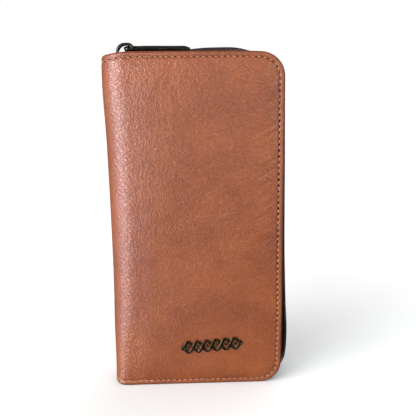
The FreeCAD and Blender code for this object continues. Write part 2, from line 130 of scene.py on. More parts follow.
def grid_faces(rows, columns, first=0, close_rows=False, close_columns=False):
    """Quads of a grid of points laid out row by row."""
    faces = []
    for r in range(rows if close_rows else rows - 1):
        below = (r + 1) % rows
        for c in range(columns if close_columns else columns - 1):
            right = (c + 1) % columns
            faces.append((first + r * columns + c, first + r * columns + right,
                          first + below * columns + right, first + below * columns + c))
    return faces


def two_layer_faces(rows, columns):
    """Faces of two grids of points, one behind the other, facing apart."""
    faces = grid_faces(rows, columns)
    count = rows * columns
    return faces + [tuple(i + count for i in face[::-1]) for face in faces]


class Build:
    """Collects several simple shapes into one mesh."""

    def __init__(self):
        self.points = []
        self.coords = []
        self.faces = []

    def add(self, points, faces, coords=None):
        first = len(self.points)
        self.points += [tuple(p) for p in points]
        self.coords += [tuple(p) for p in (points if coords is None else coords)]
        self.faces += [tuple(first + i for i in face) for face in faces]

    def tube(self, path, radius, sides=8, flat=1.0, up=(0, 1, 0), closed=False):
        """A round or flattened bar along a path; its wide side lies along up."""
        path = np.asarray(path, float)
        ahead = np.roll(path, -1, 0) - np.roll(path, 1, 0)
        if not closed:
            ahead[0] = path[1] - path[0]
            ahead[-1] = path[-1] - path[-2]
        ahead /= np.linalg.norm(ahead, axis=1)[:, None]
        wide = np.asarray(up, float)[None, :] - (ahead @ np.asarray(up, float))[:, None] * ahead
        wide /= np.linalg.norm(wide, axis=1)[:, None]
        thin = np.cross(ahead, wide)
        angles = np.arange(sides) * 2 * math.pi / sides
        radii = np.broadcast_to(np.asarray(radius, float), len(path))
        rings = (path[:, None, :]
                 + (radii[:, None] * np.cos(angles))[:, :, None] * wide[:, None, :]
                 + (radii[:, None] * flat * np.sin(angles))[:, :, None] * thin[:, None, :])
        along = np.concatenate([[0], np.cumsum(np.linalg.norm(np.diff(path, axis=0), axis=1))])
        level = np.zeros(len(path) * sides)
        coords = np.stack([np.repeat(along, sides), np.tile(angles, len(path)), level], 1)
        faces = grid_faces(len(path), sides, close_rows=closed, close_columns=True)
        if not closed:
            faces.append(tuple(reversed(range(sides))))
            faces.append(tuple(range((len(path) - 1) * sides, len(path) * sides)))
        self.add(rings.reshape(-1, 3), faces, coords)

    def make(self, name, material):
        return add_mesh(name, self.points, self.faces, material, self.coords)


def settle(piece, body, slot, *nodes):
    """Let a piece ride on a body, in place of its CAD nodes. The slot is not used."""
    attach(piece, body)
    if nodes:
        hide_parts(*nodes)


def curve_through(places, x):
    """Smooth value at x through (place, value) pairs, for one number or an array."""
    at = np.array([a for a, _ in places], float)
    value = np.array([v for _, v in places], float)
    slope = np.gradient(value, at)
    x = np.clip(np.asarray(x, float), at[0], at[-1])
    i = np.clip(np.searchsorted(at, x, side="right") - 1, 0, len(at) - 2)
    gap = at[i + 1] - at[i]
    t = (x - at[i]) / gap
    return (value[i] * (1 + 2 * t) * (1 - t) ** 2 + value[i + 1] * t * t * (3 - 2 * t)
            + gap * (slope[i] * t * (1 - t) ** 2 - slope[i + 1] * t * t * (1 - t)))


def ease(x, low, high):
    """0 below low, 1 above high, smooth between."""
    t = np.clip((np.asarray(x, float) - low) / (high - low), 0, 1)
    return t * t * (3 - 2 * t)


def noise_field(a, b, scale_a, scale_b, seed, octaves=2):
    """Smooth noise over two arrays of places, about -1 to 1."""
    return np.array([noise.fractal(Vector((u / scale_a, v / scale_b, seed)), 1.0, 2.0, octaves)
                     for u, v in zip(a, b)])


# ---- materials ----
def from_screen(*colors):
    """Colours given as they look on screen, 0 to 255, as linear light."""
    def linear(v):
        v /= 255
        return v / 12.92 if v <= 0.04045 else ((v + 0.055) / 1.055) ** 2.4
    return [(*(linear(v) for v in color), 1.0) for color in colors]


class Look:
    """A node material on one Principled shader, with short calls for its nodes."""

    def __init__(self, name, **constants):
        self.material = bpy.data.materials.new(name)
        self.material.use_nodes = True
        self.tree = self.material.node_tree
        self.shader = self.tree.nodes["Principled BSDF"]
        for socket, value in constants.items():
            label = socket.replace("_", " ").title().replace("Ior", "IOR")
            self.shader.inputs[label].default_value = value
        self.rest = self.node("ShaderNodeAttribute", attribute_name="rest").outputs["Vector"]
        # Per point painted shade, carried as a mesh attribute, to darken by.
        self.tone = self.node("ShaderNodeAttribute", attribute_name="tone").outputs["Fac"]

    def node(self, kind, inputs=None, **settings):
        """A node with its inputs linked or set, and its settings."""
        made = self.tree.nodes.new(kind)
        for key, value in settings.items():
            setattr(made, key, value)
        for key, value in (inputs or {}).items():
            if isinstance(value, bpy.types.NodeSocket):
                self.tree.links.new(value, made.inputs[key])
            else:
                made.inputs[key].default_value = value
        return made

    def math(self, operation, a, b=0.5):
        return self.node("ShaderNodeMath", {0: a, 1: b}, operation=operation).outputs[0]

    def noise(self, scale, detail=2.0, rough=0.5, where=None):
        inputs = {"Vector": where or self.rest, "Scale": scale, "Detail": detail, "Roughness": rough}
        return self.node("ShaderNodeTexNoise", inputs).outputs["Fac"]

    def cells(self, scale, feature="F1", where=None, smooth=None):
        """Distances in a pattern of cells."""
        inputs = {"Vector": where or self.rest, "Scale": scale}
        if smooth is not None:
            inputs["Smoothness"] = smooth
        return self.node("ShaderNodeTexVoronoi", inputs, feature=feature).outputs["Distance"]

    def scaled(self, factors):
        return self.node("ShaderNodeMapping", {"Vector": self.rest, "Scale": factors}).outputs["Vector"]

    def pushed(self, amount, scale):
        """The pattern's coordinates, pushed about by noise so that nothing runs straight."""
        def vector(operation, inputs):
            return self.node("ShaderNodeVectorMath", inputs, operation=operation).outputs[0]

        field = self.node("ShaderNodeTexNoise", {"Vector": self.rest, "Scale": scale, "Detail": 1.0})
        centred = vector("SUBTRACT", {0: field.outputs["Color"], 1: (0.5, 0.5, 0.5)})
        grown = vector("SCALE", {0: centred, "Scale": amount})
        return vector("ADD", {0: self.rest, 1: grown})

    def ramp(self, value, low, high, to_low=0.0, to_high=1.0):
        """A value from low to high, turned into one from to_low to to_high and clamped."""
        inputs = {"Value": value, "From Min": low, "From Max": high, "To Min": to_low, "To Max": to_high}
        return self.node("ShaderNodeMapRange", inputs).outputs["Result"]

    def mix(self, share, a, b):
        """Colour a, with a share of colour b."""
        made = self.node("ShaderNodeMix", data_type="RGBA")
        for socket, value in ((made.inputs[0], share), (made.inputs[6], a), (made.inputs[7], b)):
            if isinstance(value, bpy.types.NodeSocket):
                self.tree.links.new(value, socket)
            else:
                socket.default_value = value
        return made.outputs[2]

    def bump(self, height, strength, distance):
        inputs = {"Height": height, "Strength": strength, "Distance": distance * MM}
        return self.node("ShaderNodeBump", inputs).outputs["Normal"]

    def done(self, color=None, roughness=None, normal=None):
        for key, value in (("Base Color", color), ("Roughness", roughness), ("Normal", normal)):
            if value is not None:
                self.tree.links.new(value, self.shader.inputs[key])
        return self.material


def leather_look(name, base, deep_and_shade, light, grain=1.0):
    """Pebbled faux leather: slanted rounded pebbles with creases between, over soft blotches."""
    pebble_size = (1.8, 1.12, 1.3)
    pebble_slant = math.radians(-42)
    grain_depth = 0.125
    matt, matter = 0.3, 0.42
    look = Look(name, ior=1.5, specular_ior_level=0.38)
    where = look.pushed(1.8, 0.4)
    turn = {"Vector": where, "Rotation": (0, 0, pebble_slant), "Scale": pebble_size}
    slanted = look.node("ShaderNodeMapping", turn, vector_type="TEXTURE").outputs["Vector"]
    pebble = look.cells(1.0, "SMOOTH_F1", slanted, smooth=0.35)
    crease = look.cells(1.0, "DISTANCE_TO_EDGE", slanted)
    fine = look.cells(2.1, "SMOOTH_F1", where, smooth=0.3)
    dome = look.ramp(pebble, 0.0, 0.75, 1.0, 0.0)
    swell = look.noise(0.3, 3.0, 0.55, where)
    patches = look.ramp(look.noise(0.045, 2.0), 0.35, 0.65, 0.6, 1.0)
    height = look.math("MULTIPLY", dome, patches)
    height = look.math("ADD", height, look.ramp(crease, 0.0, 0.16, 0.0, 0.4))
    height = look.math("ADD", height, look.ramp(fine, 0.0, 0.8, 0.32, 0.0))
    height = look.math("ADD", height, look.math("MULTIPLY", swell, 0.5))
    normal = look.bump(height, 1.0, grain_depth * grain)
    color = look.mix(look.ramp(look.noise(0.035, 3.0, 0.6), 0.35, 0.7, 0.1, 0.9), base, light)
    color = look.mix(look.ramp(look.noise(0.16, 2.0), 0.45, 0.8, 0.0, 0.1), color, deep_and_shade)
    # Painted shade darkens the creases between pebbles, and a painted highlight lightens the pebbles' tops.
    color = look.mix(look.ramp(crease, 0.0, 0.2, 0.42, 0.0), color, deep_and_shade)
    color = look.mix(look.ramp(dome, 0.45, 0.9, 0.0, 0.4), color, light)
    # The mesh's painted shade darkens towards the deep colour.
    color = look.mix(look.tone, color, deep_and_shade)
    dull = look.ramp(crease, 0.0, 0.25, 0.1, 0.0)
    rough = look.ramp(look.noise(0.8, 2.0, 0.6), 0.3, 0.7, matt, matter)
    return look.done(color, look.math("ADD", rough, dull), normal)


def weave_look(name, dark, light, pitch, depth=0.12):
    """Woven cloth: two crossing sets of threads a pitch apart, in millimetres."""
    look = Look(name, roughness=0.85, specular_ior_level=0.1)
    split = look.node("ShaderNodeSeparateXYZ", {"Vector": look.rest})
    turn = 2 * math.pi / pitch
    warp = look.math("SINE", look.math("MULTIPLY", split.outputs[0], turn))
    weft = look.math("SINE", look.math("MULTIPLY", split.outputs[1], turn))
    cross = look.math("MULTIPLY", warp, weft)
    height = look.math("ADD", look.math("MULTIPLY", cross, 0.5), 0.5)
    # Painted shade and highlight: the colour follows the weave's bump, darker in its dips and lighter on its
    # raised crossings.
    color = look.mix(look.ramp(height, 0.1, 0.9), dark, light)
    color = look.mix(look.ramp(look.noise(0.2, 3.0), 0.35, 0.75, 0.0, 0.4), color, dark)
    # The mesh's painted shade darkens towards the dark colour.
    color = look.mix(look.tone, color, dark)
    return look.done(color, normal=look.bump(height, 0.6, depth))


def metal_look(name, dark, light, roughness=0.34):
    """Dark plated metal with lighter wear, fine brushing and small pits."""
    look = Look(name, metallic=1.0, roughness=roughness)
    cloud = look.noise(0.5, 4.0, 0.6)
    color = look.mix(look.ramp(cloud, 0.4, 0.75), dark, light)
    brush = look.noise(6.0, 3.0, 0.6, look.scaled((0.15, 1.0, 1.0)))
    pits = look.ramp(look.cells(2.6), 0.05, 0.3)
    height = look.math("ADD", look.math("MULTIPLY", brush, 0.4), look.math("MULTIPLY", pits, 0.25))
    rough = look.ramp(cloud, 0.3, 0.8, roughness - 0.06, roughness + 0.14)
    return look.done(color, rough, look.bump(height, 0.25, 0.05))


def thread_look(name, color, dark):
    """Twisted sewing thread, the twist running round each stitch."""
    look = Look(name, roughness=0.6, specular_ior_level=0.25, sheen_weight=0.05)
    split = look.node("ShaderNodeSeparateXYZ", {"Vector": look.rest})
    along = look.math("MULTIPLY", split.outputs[0], 9.0)
    twist = look.math("ADD", along, look.math("MULTIPLY", split.outputs[1], 2.0))
    ply = look.ramp(look.math("SINE", twist), -1.0, 1.0)
    # Painted shade: the thread darkens in the grooves between its plies, where the bump is lowest.
    tint = look.mix(look.ramp(ply, 0.0, 0.5, 0.55, 0.0), color, dark)
    tint = look.mix(look.ramp(look.noise(0.8), 0.4, 0.7, 0.0, 0.3), tint, dark)
    return look.done(tint, normal=look.bump(ply, 0.4, 0.08))


def nylon_look(name, dark, light):
    """Dark nylon monofilament with a soft gloss."""
    look = Look(name, roughness=0.42, specular_ior_level=0.3)
    color = look.mix(look.ramp(look.noise(0.6, 2.0), 0.4, 0.7), dark, light)
    rough = look.ramp(look.noise(2.0), 0.3, 0.7, 0.36, 0.5)
    return look.done(color, rough, look.bump(look.noise(3.0, 3.0), 0.2, 0.03))


LEATHER = leather_look("tan_leather", *from_screen((132, 65, 26), (86, 37, 13), (158, 84, 35)))
INNER_LEATHER = leather_look("inner_leather", *from_screen((112, 58, 34), (68, 32, 18), (124, 68, 40)), 0.5)
LINING = weave_look("lining_cloth", *from_screen((34, 22, 16), (60, 42, 31)), 0.9)
TAPE = weave_look("zip_tape_cloth", *from_screen((10, 6, 4), (27, 18, 14)), 0.7, 0.15)
COIL = nylon_look("coil_nylon", *from_screen((54, 39, 36), (84, 65, 60)))
METAL = metal_look("dark_plating", *from_screen((42, 40, 33), (76, 73, 61)))
METAL_ORNAMENT = metal_look("ornament_plating", *from_screen((30, 24, 17), (78, 68, 48)), 0.38)
THREAD = thread_look("tan_thread", *from_screen((208, 152, 108), (128, 76, 44)))
DARK_THREAD = thread_look("dark_thread", *from_screen((40, 28, 24), (20, 14, 12)))
# The needle holes' near black is painted shade for the dark inside each hole.
PAINTED_HOLE_SHADE = Look("stitch_hole_shade", base_color=from_screen((24, 10, 6))[0], roughness=0.95,
            specular_ior_level=0.1).done()


# ---- the leather sheet ----
# How far the leather stands off the plain fold at the spine's apex, at heights up the wallet.
SPINE_SWELL = [(0, 1.3), (6, 0.8), (18, 0.45), (38, 0.4), (55, -0.05), (112, -0.45), (158, 0.05),
               (180, 0.6), (195, 0.4)]
# How square the fold's section is, at heights: 2 is round, and the foot is nearly square.
SPINE_SQUARE = [(0, 4.2), (14, 3.6), (40, 2.8), (90, 2.45), (160, 2.4), (195, 2.6)]
# How far the free edge leans out of upright, at heights.
EDGE_LEAN = [(0, 0.8), (40, 0.95), (90, 0.3), (150, -0.1), (195, -0.45)]


def sheet_points(side, along, up, rise):
    """Places on the leather sheet of one cover, as an array of points."""
    along, up, rise = np.broadcast_arrays(*(np.asarray(v, float) for v in (along, up, rise)))
    angle = np.clip(along, 0, FOLD_RUN) / FOLD_R
    x = FOLD_X - FOLD_R * np.cos(angle) + np.maximum(along - FOLD_RUN, 0)
    square = curve_through(SPINE_SQUARE, up)
    corner = (np.cos(angle) ** square + np.sin(angle) ** square) ** (-1 / square) - 1
    off = rise + curve_through(SPINE_SWELL, up) * (1 - ease(along, 4, 20))
    off = off + FOLD_R * corner * (along < FOLD_RUN)
    depth = (FOLD_R + off) * np.sin(angle)
    into = np.minimum(x - FOLD_X, 0)
    drop = TOP_SCOOP_R - np.sqrt(TOP_SCOOP_R ** 2 - into ** 2)
    lift = BOTTOM_SCOOP_R - np.sqrt(BOTTOM_SCOOP_R ** 2 - into ** 2)
    z = lift + up * (HEIGHT - drop - lift) / HEIGHT
    z = z - FREE_CORNER_DROP * ease(x, 16, 45) * ease(up, 140, 195)
    lean = curve_through(EDGE_LEAN, up) * ease(x, -10, 44)
    lean += FOLD_SWELL * ease(up, 4, 45) * ease(x, SPINE_X, FOLD_X) * (1 - ease(x, FOLD_X, -14))
    return np.stack([x - off * np.cos(angle) + lean, MID_Y + SIDES[side] * depth, z], -1)


def inset_of(along, up):
    """Distance of a place on the sheet from the sheet's sewn edges."""
    beyond = along - (WIDTH - CORNER_R)
    above = np.maximum(up - (HEIGHT - CORNER_R), CORNER_R - up)
    plain = np.minimum(WIDTH - along, np.minimum(up, HEIGHT - up))
    return np.where((beyond > 0) & (above > 0), CORNER_R - np.hypot(beyond, above), plain)


def edge_line(inset, top_steps, corner_steps, side_steps):
    """Places at one inset: along the top, round a corner, down the free edge and back below."""
    radius = CORNER_R - inset
    top = np.linspace(0, WIDTH - CORNER_R, top_steps + 1)
    turn = np.linspace(0, math.pi / 2, corner_steps + 1)[1:]
    side = np.linspace(HEIGHT - CORNER_R, CORNER_R, side_steps + 1)[1:]
    along = np.concatenate([
        top, WIDTH - CORNER_R + radius * np.sin(turn), np.full(side_steps, WIDTH - inset),
        WIDTH - CORNER_R + radius * np.cos(turn), top[::-1][1:]])
    up = np.concatenate([
        np.full(top_steps + 1, HEIGHT - inset), HEIGHT - CORNER_R + radius * np.cos(turn), side,
        CORNER_R - radius * np.sin(turn), np.full(top_steps, inset)])
    return along, up


FULL_INSET = 14.0          # inside this the sheet is a plain grid
TOP_STEPS, CORNER_STEPS, SIDE_STEPS = 118, 28, 205


def square_line():
    """The grid's border, with as many places as a rounded edge line."""
    half = CORNER_STEPS // 2
    step = (HEIGHT - 2 * FULL_INSET) / (SIDE_STEPS + CORNER_STEPS)
    right = WIDTH - FULL_INSET
    across = np.concatenate([np.linspace(0, right - half * step, TOP_STEPS + 1),
                             right - step * np.arange(half - 1, -1, -1)])
    down = np.linspace(HEIGHT - FULL_INSET, FULL_INSET, SIDE_STEPS + CORNER_STEPS + 1)
    along = np.concatenate([across, np.full(len(down) - 1, right), across[::-1][1:]])
    up = np.concatenate([np.full(len(across), HEIGHT - FULL_INSET), down[1:],
                         np.full(len(across) - 1, FULL_INSET)])
    return along, up, across, down


def puffed_wrinkles():
    """Height of the leather's wrinkles on a plain grid, from a cloth held at its seam and puffed up.

    The cloth is cut a little too large for its seam, as padded leather is; what is kept is how its
    height differs from the smooth pillow."""
    step = 2.6
    scale = 0.01               # the cloth is simulated ten times life size
    past_spine = 12
    columns = int((WIDTH - 2 * STITCH_INSET + past_spine) / step)
    rows = int((HEIGHT - 2 * STITCH_INSET) / step)
    across = np.linspace(-past_spine, WIDTH - STITCH_INSET, columns)
    high = np.linspace(STITCH_INSET, HEIGHT - STITCH_INSET, rows)
    grid_along, grid_up = np.meshgrid(across, high)
    seed = 0.12 * noise_field(grid_along.ravel(), grid_up.ravel(), 9, 9, 5.5)
    points = np.stack([grid_along.ravel(), grid_up.ravel(), seed], -1) * scale
    mesh = bpy.data.meshes.new("puffed")
    mesh.from_pydata(points.tolist(), [], grid_faces(rows, columns))
    cloth_object = link(bpy.data.objects.new("puffed", mesh))
    edge = inset_of(grid_along.ravel(), grid_up.ravel())
    held = [i for i in range(rows * columns) if edge[i] < STITCH_INSET + 1.0 or i % columns == 0]
    cloth_object.vertex_groups.new(name="held").add(held, 1.0, "REPLACE")
    cloth = cloth_object.modifiers.new("Cloth", "CLOTH")
    settings = {"quality": 6, "mass": 0.3, "tension_stiffness": 25, "compression_stiffness": 25,
                "shear_stiffness": 12, "bending_stiffness": 0.35, "air_damping": 3,
                "vertex_group_mass": "held", "shrink_min": -0.035, "use_pressure": True,
                "uniform_pressure_force": 1.6}
    for key, value in settings.items():
        setattr(cloth.settings, key, value)
    cloth.settings.effector_weights.gravity = 0
    last_frame = 32
    cloth.point_cache.frame_start = 1
    cloth.point_cache.frame_end = last_frame
    scene = bpy.context.scene
    for number in range(1, last_frame + 1):
        scene.frame_set(number)
    puffed = cloth_object.evaluated_get(bpy.context.evaluated_depsgraph_get())
    heights = np.array([v.co.z for v in puffed.data.vertices]).reshape(rows, columns) / scale
    bpy.data.objects.remove(cloth_object)
    scene.frame_set(1)
    smooth = heights.copy()
    for _ in range(14):
        padded = np.pad(smooth, 1, mode="edge")
        around = padded[:-2, 1:-1] + padded[2:, 1:-1] + padded[1:-1, :-2] + padded[1:-1, 2:]
        smooth = (around + 2 * smooth) / 6
    return across, high, heights - smooth


def sample_grid(grid, along, up):
    """Smooth value of a gridded height at places on the sheet (cubic B-spline)."""
    across, high, values = grid
    u = np.clip((along - across[0]) / (across[1] - across[0]), 0, len(across) - 1.001)
    v = np.clip((up - high[0]) / (high[1] - high[0]), 0, len(high) - 1.001)
    i, j = u.astype(int), v.astype(int)
    s, t = u - i, v - j

    def weights(f):
        return ((1 - f) ** 3 / 6, (3 * f ** 3 - 6 * f ** 2 + 4) / 6,
                (-3 * f ** 3 + 3 * f ** 2 + 3 * f + 1) / 6, f ** 3 / 6)

    padded = np.pad(values, ((1, 2), (1, 2)), mode="edge")
    total = np.zeros(np.shape(along))
    for a, wide in enumerate(weights(s)):
        for b, tall in enumerate(weights(t)):
            total += wide * tall * padded[j + b, i + a]
    return total


WRINKLES = puffed_wrinkles()


def padding_rise(along, up):
    """Height of the padded panel, with the stitch line's groove and the leather's slack."""
    inset = inset_of(along, up)
    inside = np.maximum(inset - STITCH_INSET, 0)
    full = SPINE_PADDING + (PANEL_RISE - SPINE_PADDING) * ease(along, FOLD_RUN - 12, FOLD_RUN + 11)
    crown = full * (1 - 0.45 * np.exp(-inside / 2.6) - 0.55 * np.exp(-inside / 8.5))
    groove = SEAM_GROOVE * np.exp(-((inset - STITCH_INSET) / SEAM_GROOVE_WIDTH) ** 2)
    return crown + groove + slack(along, up, inset)


def slack(along, up, inset):
    """Small waves in the leather: soft hollows, pulls at the seam, and slanted creases."""
    soft = SOFT_HOLLOWS * noise_field(along, up, 30.0, 42.0, 3.1) * ease(inset, 4, 14)
    pull = SEAM_PULLS * np.cos(2 * math.pi * (up + 0.6 * along) / STITCH_PITCH)
    pull = pull * np.exp(-((inset - 4.6) / 1.5) ** 2)
    slant = up - 0.55 * along
    ripple = noise_field(slant, along + 0.55 * up, 2.6, 15.0, 7.7)
    free_edge = 1.7 * ease(WIDTH - along, 3.5, 6.0) * (1 - ease(WIDTH - along, 9.0, 20.0))
    free_edge = free_edge * ease(up, 60, 110) * (1 - ease(up, 172, 190))
    middle = 0.35 * ease(along, 34, 52) * (1 - ease(along, 70, 92))
    middle = middle * ease(noise_field(along, up, 28, 28, 11.2), -0.1, 0.35)
    fold = 0.1 * (1 - ease(along, 22, 40)) * ease(up, 12, 40)
    creases = RIPPLES * ripple * (free_edge + middle + fold)
    puffed = np.clip(WRINKLE_SHARE * sample_grid(WRINKLES, along, up), -0.5, 0.5)
    return soft + pull + creases + puffed * ease(inset, STITCH_INSET, 6) * ease(along, 6, 24)


def leather_sheet(side):
    """One cover with its half of the spine: turned edge, border, padded panel and inner face."""
    roll = EDGE_ROLL_R
    rings = [(3.6, -2.3), (2.2, -2.34)]         # inset and rise, from the turned-in edge outward
    for degrees in (-90, -70, -50, -25, 0, 20, 35, 46, 54, 62, 72, 90):
        a = math.radians(degrees)
        reach = roll - 0.14 * math.exp(-((degrees - 54) / 9) ** 2)   # a crease at the turn
        rings.append((roll - reach * math.cos(a), reach * math.sin(a) - roll))
    rings += [(inset, 0.0)
              for inset in (1.5, 1.8, 2.1, 2.4, 2.65, 2.9, 3.15, 3.4, 3.7, 4.1, 4.6, 5.2, 6.0)]
    lines = [edge_line(inset, TOP_STEPS, CORNER_STEPS, SIDE_STEPS) for inset, _ in rings]
    square_along, square_up, across, down = square_line()
    last_along, last_up = lines[-1]
    for share in np.linspace(0, 1, 9)[1:]:
        lines.append((last_along + share * (square_along - last_along),
                      last_up + share * (square_up - last_up)))
        rings.append((None, 0.0))
    along, up, rise = [], [], []
    for (inset, low), (line_along, line_up) in zip(rings, lines):
        along.append(line_along)
        up.append(line_up)
        turned = inset is not None and (low < 0 or inset < 1.3)
        rise.append(np.full(len(line_along), low) if turned else padding_rise(line_along, line_up))
    count = len(square_along)
    faces = grid_faces(len(rings), count)
    rows, columns = len(down), len(across)
    first = (len(rings) - 1) * count
    fresh = len(rings) * count
    index = np.zeros((rows, columns), int)
    index[0, :] = first + np.arange(columns)
    index[:, -1] = first + columns - 1 + np.arange(rows)
    index[-1, :] = first + count - 1 - np.arange(columns)
    inner = (rows - 2) * (columns - 1)
    index[1:-1, :-1] = fresh + np.arange(inner).reshape(rows - 2, columns - 1)
    grid_along, grid_up = np.meshgrid(across[:-1], down[1:-1])
    along.append(grid_along.ravel())
    up.append(grid_up.ravel())
    rise.append(padding_rise(grid_along.ravel(), grid_up.ravel()))
    faces += [(index[r, c], index[r, c + 1], index[r + 1, c + 1], index[r + 1, c])
              for r in range(rows - 1) for c in range(columns - 1)]
    half = TOP_STEPS + CORNER_STEPS
    faces += [(i, count - 1 - i, count - 2 - i, i + 1) for i in range(half)]
    along, up, rise = (np.concatenate(v) for v in (along, up, rise))
    inset = inset_of(along, up)
    ring_rise = np.concatenate([np.full(count, low) for _, low in rings] + [np.zeros(inner)])
    # Painted shade on the sheet: darkest in the crease where the edge turns, darker on the turned-under lip,
    # and along the seam's groove.
    crease = np.exp(-((ring_rise + 0.3) / 0.16) ** 2) * (inset < 1.2)
    seam_painted_shade = 0.35 * np.exp(-((inset - STITCH_INSET) / 0.4) ** 2) * (ring_rise >= 0)
    tone = 0.9 * crease + 0.25 * ease(-ring_rise, 0.6, 1.2) + seam_painted_shade
    coords = np.stack([along, up - 0.7 * ring_rise, np.full(len(along), 30.0 * SIDES[side])], -1)
    if SIDES[side] > 0:
        faces = [face[::-1] for face in faces]
    faces = [tuple(int(i) for i in face) for face in faces]
    points = sheet_points(side, along, up, rise)
    return add_mesh(side + "_leather_sheet", points, faces, LEATHER, coords, tone)


def bend_at_spine(piece):
    """Fix a piece that crosses the spine's fold in place, baking its transform into its mesh; it does not
    bend between the spine and its cover.
    """
    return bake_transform(piece)


# ---- stitching ----
# Share of its pitch that a stitch shows, at heights: the thread sinks deepest along the top.
STITCH_SHOWS = [(0, 0.66), (20, 0.6), (100, 0.46), (180, 0.4), (195, 0.34)]
# Size of a needle hole, at heights: largest down the free edge.
HOLE_SIZE = [(0, 0.5), (18, 0.75), (60, 1.0), (178, 1.0), (190, 0.8), (195, 0.7)]
DOUBLED = 9                # stitches sewn twice at each end of the seam


def seam_places(pitch):
    """Places of the needle holes along the sewn edge."""
    along, up = edge_line(STITCH_INSET, 400, 120, 700)
    run = np.concatenate([[0], np.cumsum(np.hypot(np.diff(along), np.diff(up)))])
    count = round(run[-1] / pitch)
    at = np.linspace(0.6, run[-1] - 0.6, count + 1)
    return np.interp(at, run, along), np.interp(at, run, up)


def stitch(build, side, start, end):
    """One stitch of thread, sunk at both ends."""
    shares = np.array([0.0, 0.12, 0.3, 0.5, 0.7, 0.88, 1.0])
    along = start[0] + (end[0] - start[0]) * shares
    up = start[1] + (end[1] - start[1]) * shares
    rise = padding_rise(along, up) + 0.46 * np.sin(math.pi * shares) ** 0.8 - 0.24
    path = sheet_points(side, along, up, rise)
    across = np.cross(path[-1] - path[0], (0, SIDES[side], 0))
    build.tube(path, THREAD_R * np.array([0.55, 0.9, 1, 1, 1, 0.9, 0.55]), 7, up=across)


def sewing(side):
    """The lockstitch round a cover, doubled where the seam starts and ends at the spine."""
    threads = Build()
    holes = Build()
    along, up = seam_places(STITCH_PITCH)
    for i in range(len(along) - 1):
        a = np.array([along[i], up[i]])
        b = np.array([along[i + 1], up[i + 1]])
        direction = (b - a) / np.linalg.norm(b - a)
        across = np.array([-direction[1], direction[0]])
        wander = 0.07 * math.sin(i * 2.4) + 0.05 * math.sin(i * 5.9)
        sunk = STITCH_PITCH * (0.5 - 0.5 * float(curve_through(STITCH_SHOWS, up[i])))
        start = a + direction * sunk + across * (STITCH_SLANT + wander)
        end = b - direction * sunk - across * (STITCH_SLANT - wander)
        stitch(threads, side, start, end)
        hole(holes, side, a)
        if i < DOUBLED or i > len(along) - 2 - DOUBLED:
            shift = direction * (1.2 + 0.3 * math.sin(i * 3.3)) + across * (0.42 * math.cos(i * 1.7))
            stitch(threads, side, start + shift, end + shift * 0.9)
            hole(holes, side, a + shift)
    thread = threads.make(side + "_cover_stitching", THREAD)
    dark = holes.make(side + "_cover_stitch_hole_shades", PAINTED_HOLE_SHADE)
    for piece in (thread, dark):
        bend_at_spine(piece)


def hole(build, side, place):
    """A needle hole: a small pit pressed into the leather, coloured near black as painted shade."""
    size = float(curve_through(HOLE_SIZE, place[1]))
    size *= 1 + 0.22 * math.sin(place[0] * 3.1 + place[1] * 2.3)
    rings = [(0.0, 0.05), (0.22 * size, 0.06), (0.4 * size, 0.06), (0.5 * size, -0.12)]
    angles = np.arange(8) * math.pi / 4
    along = np.concatenate([place[0] + r * np.cos(angles) for r, _ in rings])
    up = np.concatenate([place[1] + r * np.sin(angles) for r, _ in rings])
    rise = padding_rise(along, up) + np.repeat([high for _, high in rings], 8)
    build.add(sheet_points(side, along, up, rise), grid_faces(len(rings), 8, close_columns=True))


def make_cover(side):
    """One cover's leather sheet and its sewing."""
    sheet = leather_sheet(side)
    bend_at_spine(sheet)
    nodes = [side + part for part in ("_leather", "_foam", "_board", "_spine_flex")]
    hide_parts(*nodes, "spine_leather")
    sewing(side)


# ---- zip ----
ZIP_START_X = span("front_zip_coil")[0].x
COIL_PITCH = 1.2
COIL_HALF_HEIGHT = 0.9
ZIP_BULGE = span("front_zip_coil")[1].x - EDGE_X
TOP_RUN = EDGE_X - CORNER_R - ZIP_START_X
CORNER_RUN = CORNER_R * math.pi / 2
SIDE_RUN = HEIGHT - 2 * CORNER_R
TRACK = 2 * TOP_RUN + 2 * CORNER_RUN + SIDE_RUN
SLIDER_TRAVEL = JOINTS["slider_travel"]["range_m"][1] / MM
SLIDER_NOSE = 4.7          # from the slider's middle to where its two channels part
PART_AT = SLIDER_X + SLIDER_TRAVEL - SLIDER_NOSE - ZIP_START_X


def on_side(z):
    """Run along the zip to a height on the free edge."""
    return TOP_RUN + CORNER_RUN + HEIGHT - CORNER_R - z


# The coil's centre beyond the covers' edge, at places along the zip from the slider's end.
COIL_OFFSETS = [(0, -2.32), (SLIDER_HIGH.x - ZIP_START_X, -2.2)]
COIL_OFFSETS += [(x - ZIP_START_X, offset) for x, offset in
                 ((-28, -0.75), (-18, -0.3), (-4, -0.1), (2, 0.4), (10, 0.6), (20, 0.42))]
COIL_OFFSETS += [(TOP_RUN, -2.3)]
COIL_OFFSETS += [(on_side(z), offset) for z, offset in
                 ((HEIGHT - CORNER_R, -0.1), (162, 0.5), (136, 1.1), (74, 2.4), (48, 3.5),
                  (26, ZIP_BULGE - COIL_HALF_HEIGHT), (CORNER_R, 3.9))]
COIL_OFFSETS += [(on_side(CORNER_R) + 0.55 * CORNER_RUN, 1.2), (TRACK - TOP_RUN, -1.5),
                 (TRACK - 15 + ZIP_START_X, -1.7), (TRACK, -2.0)]


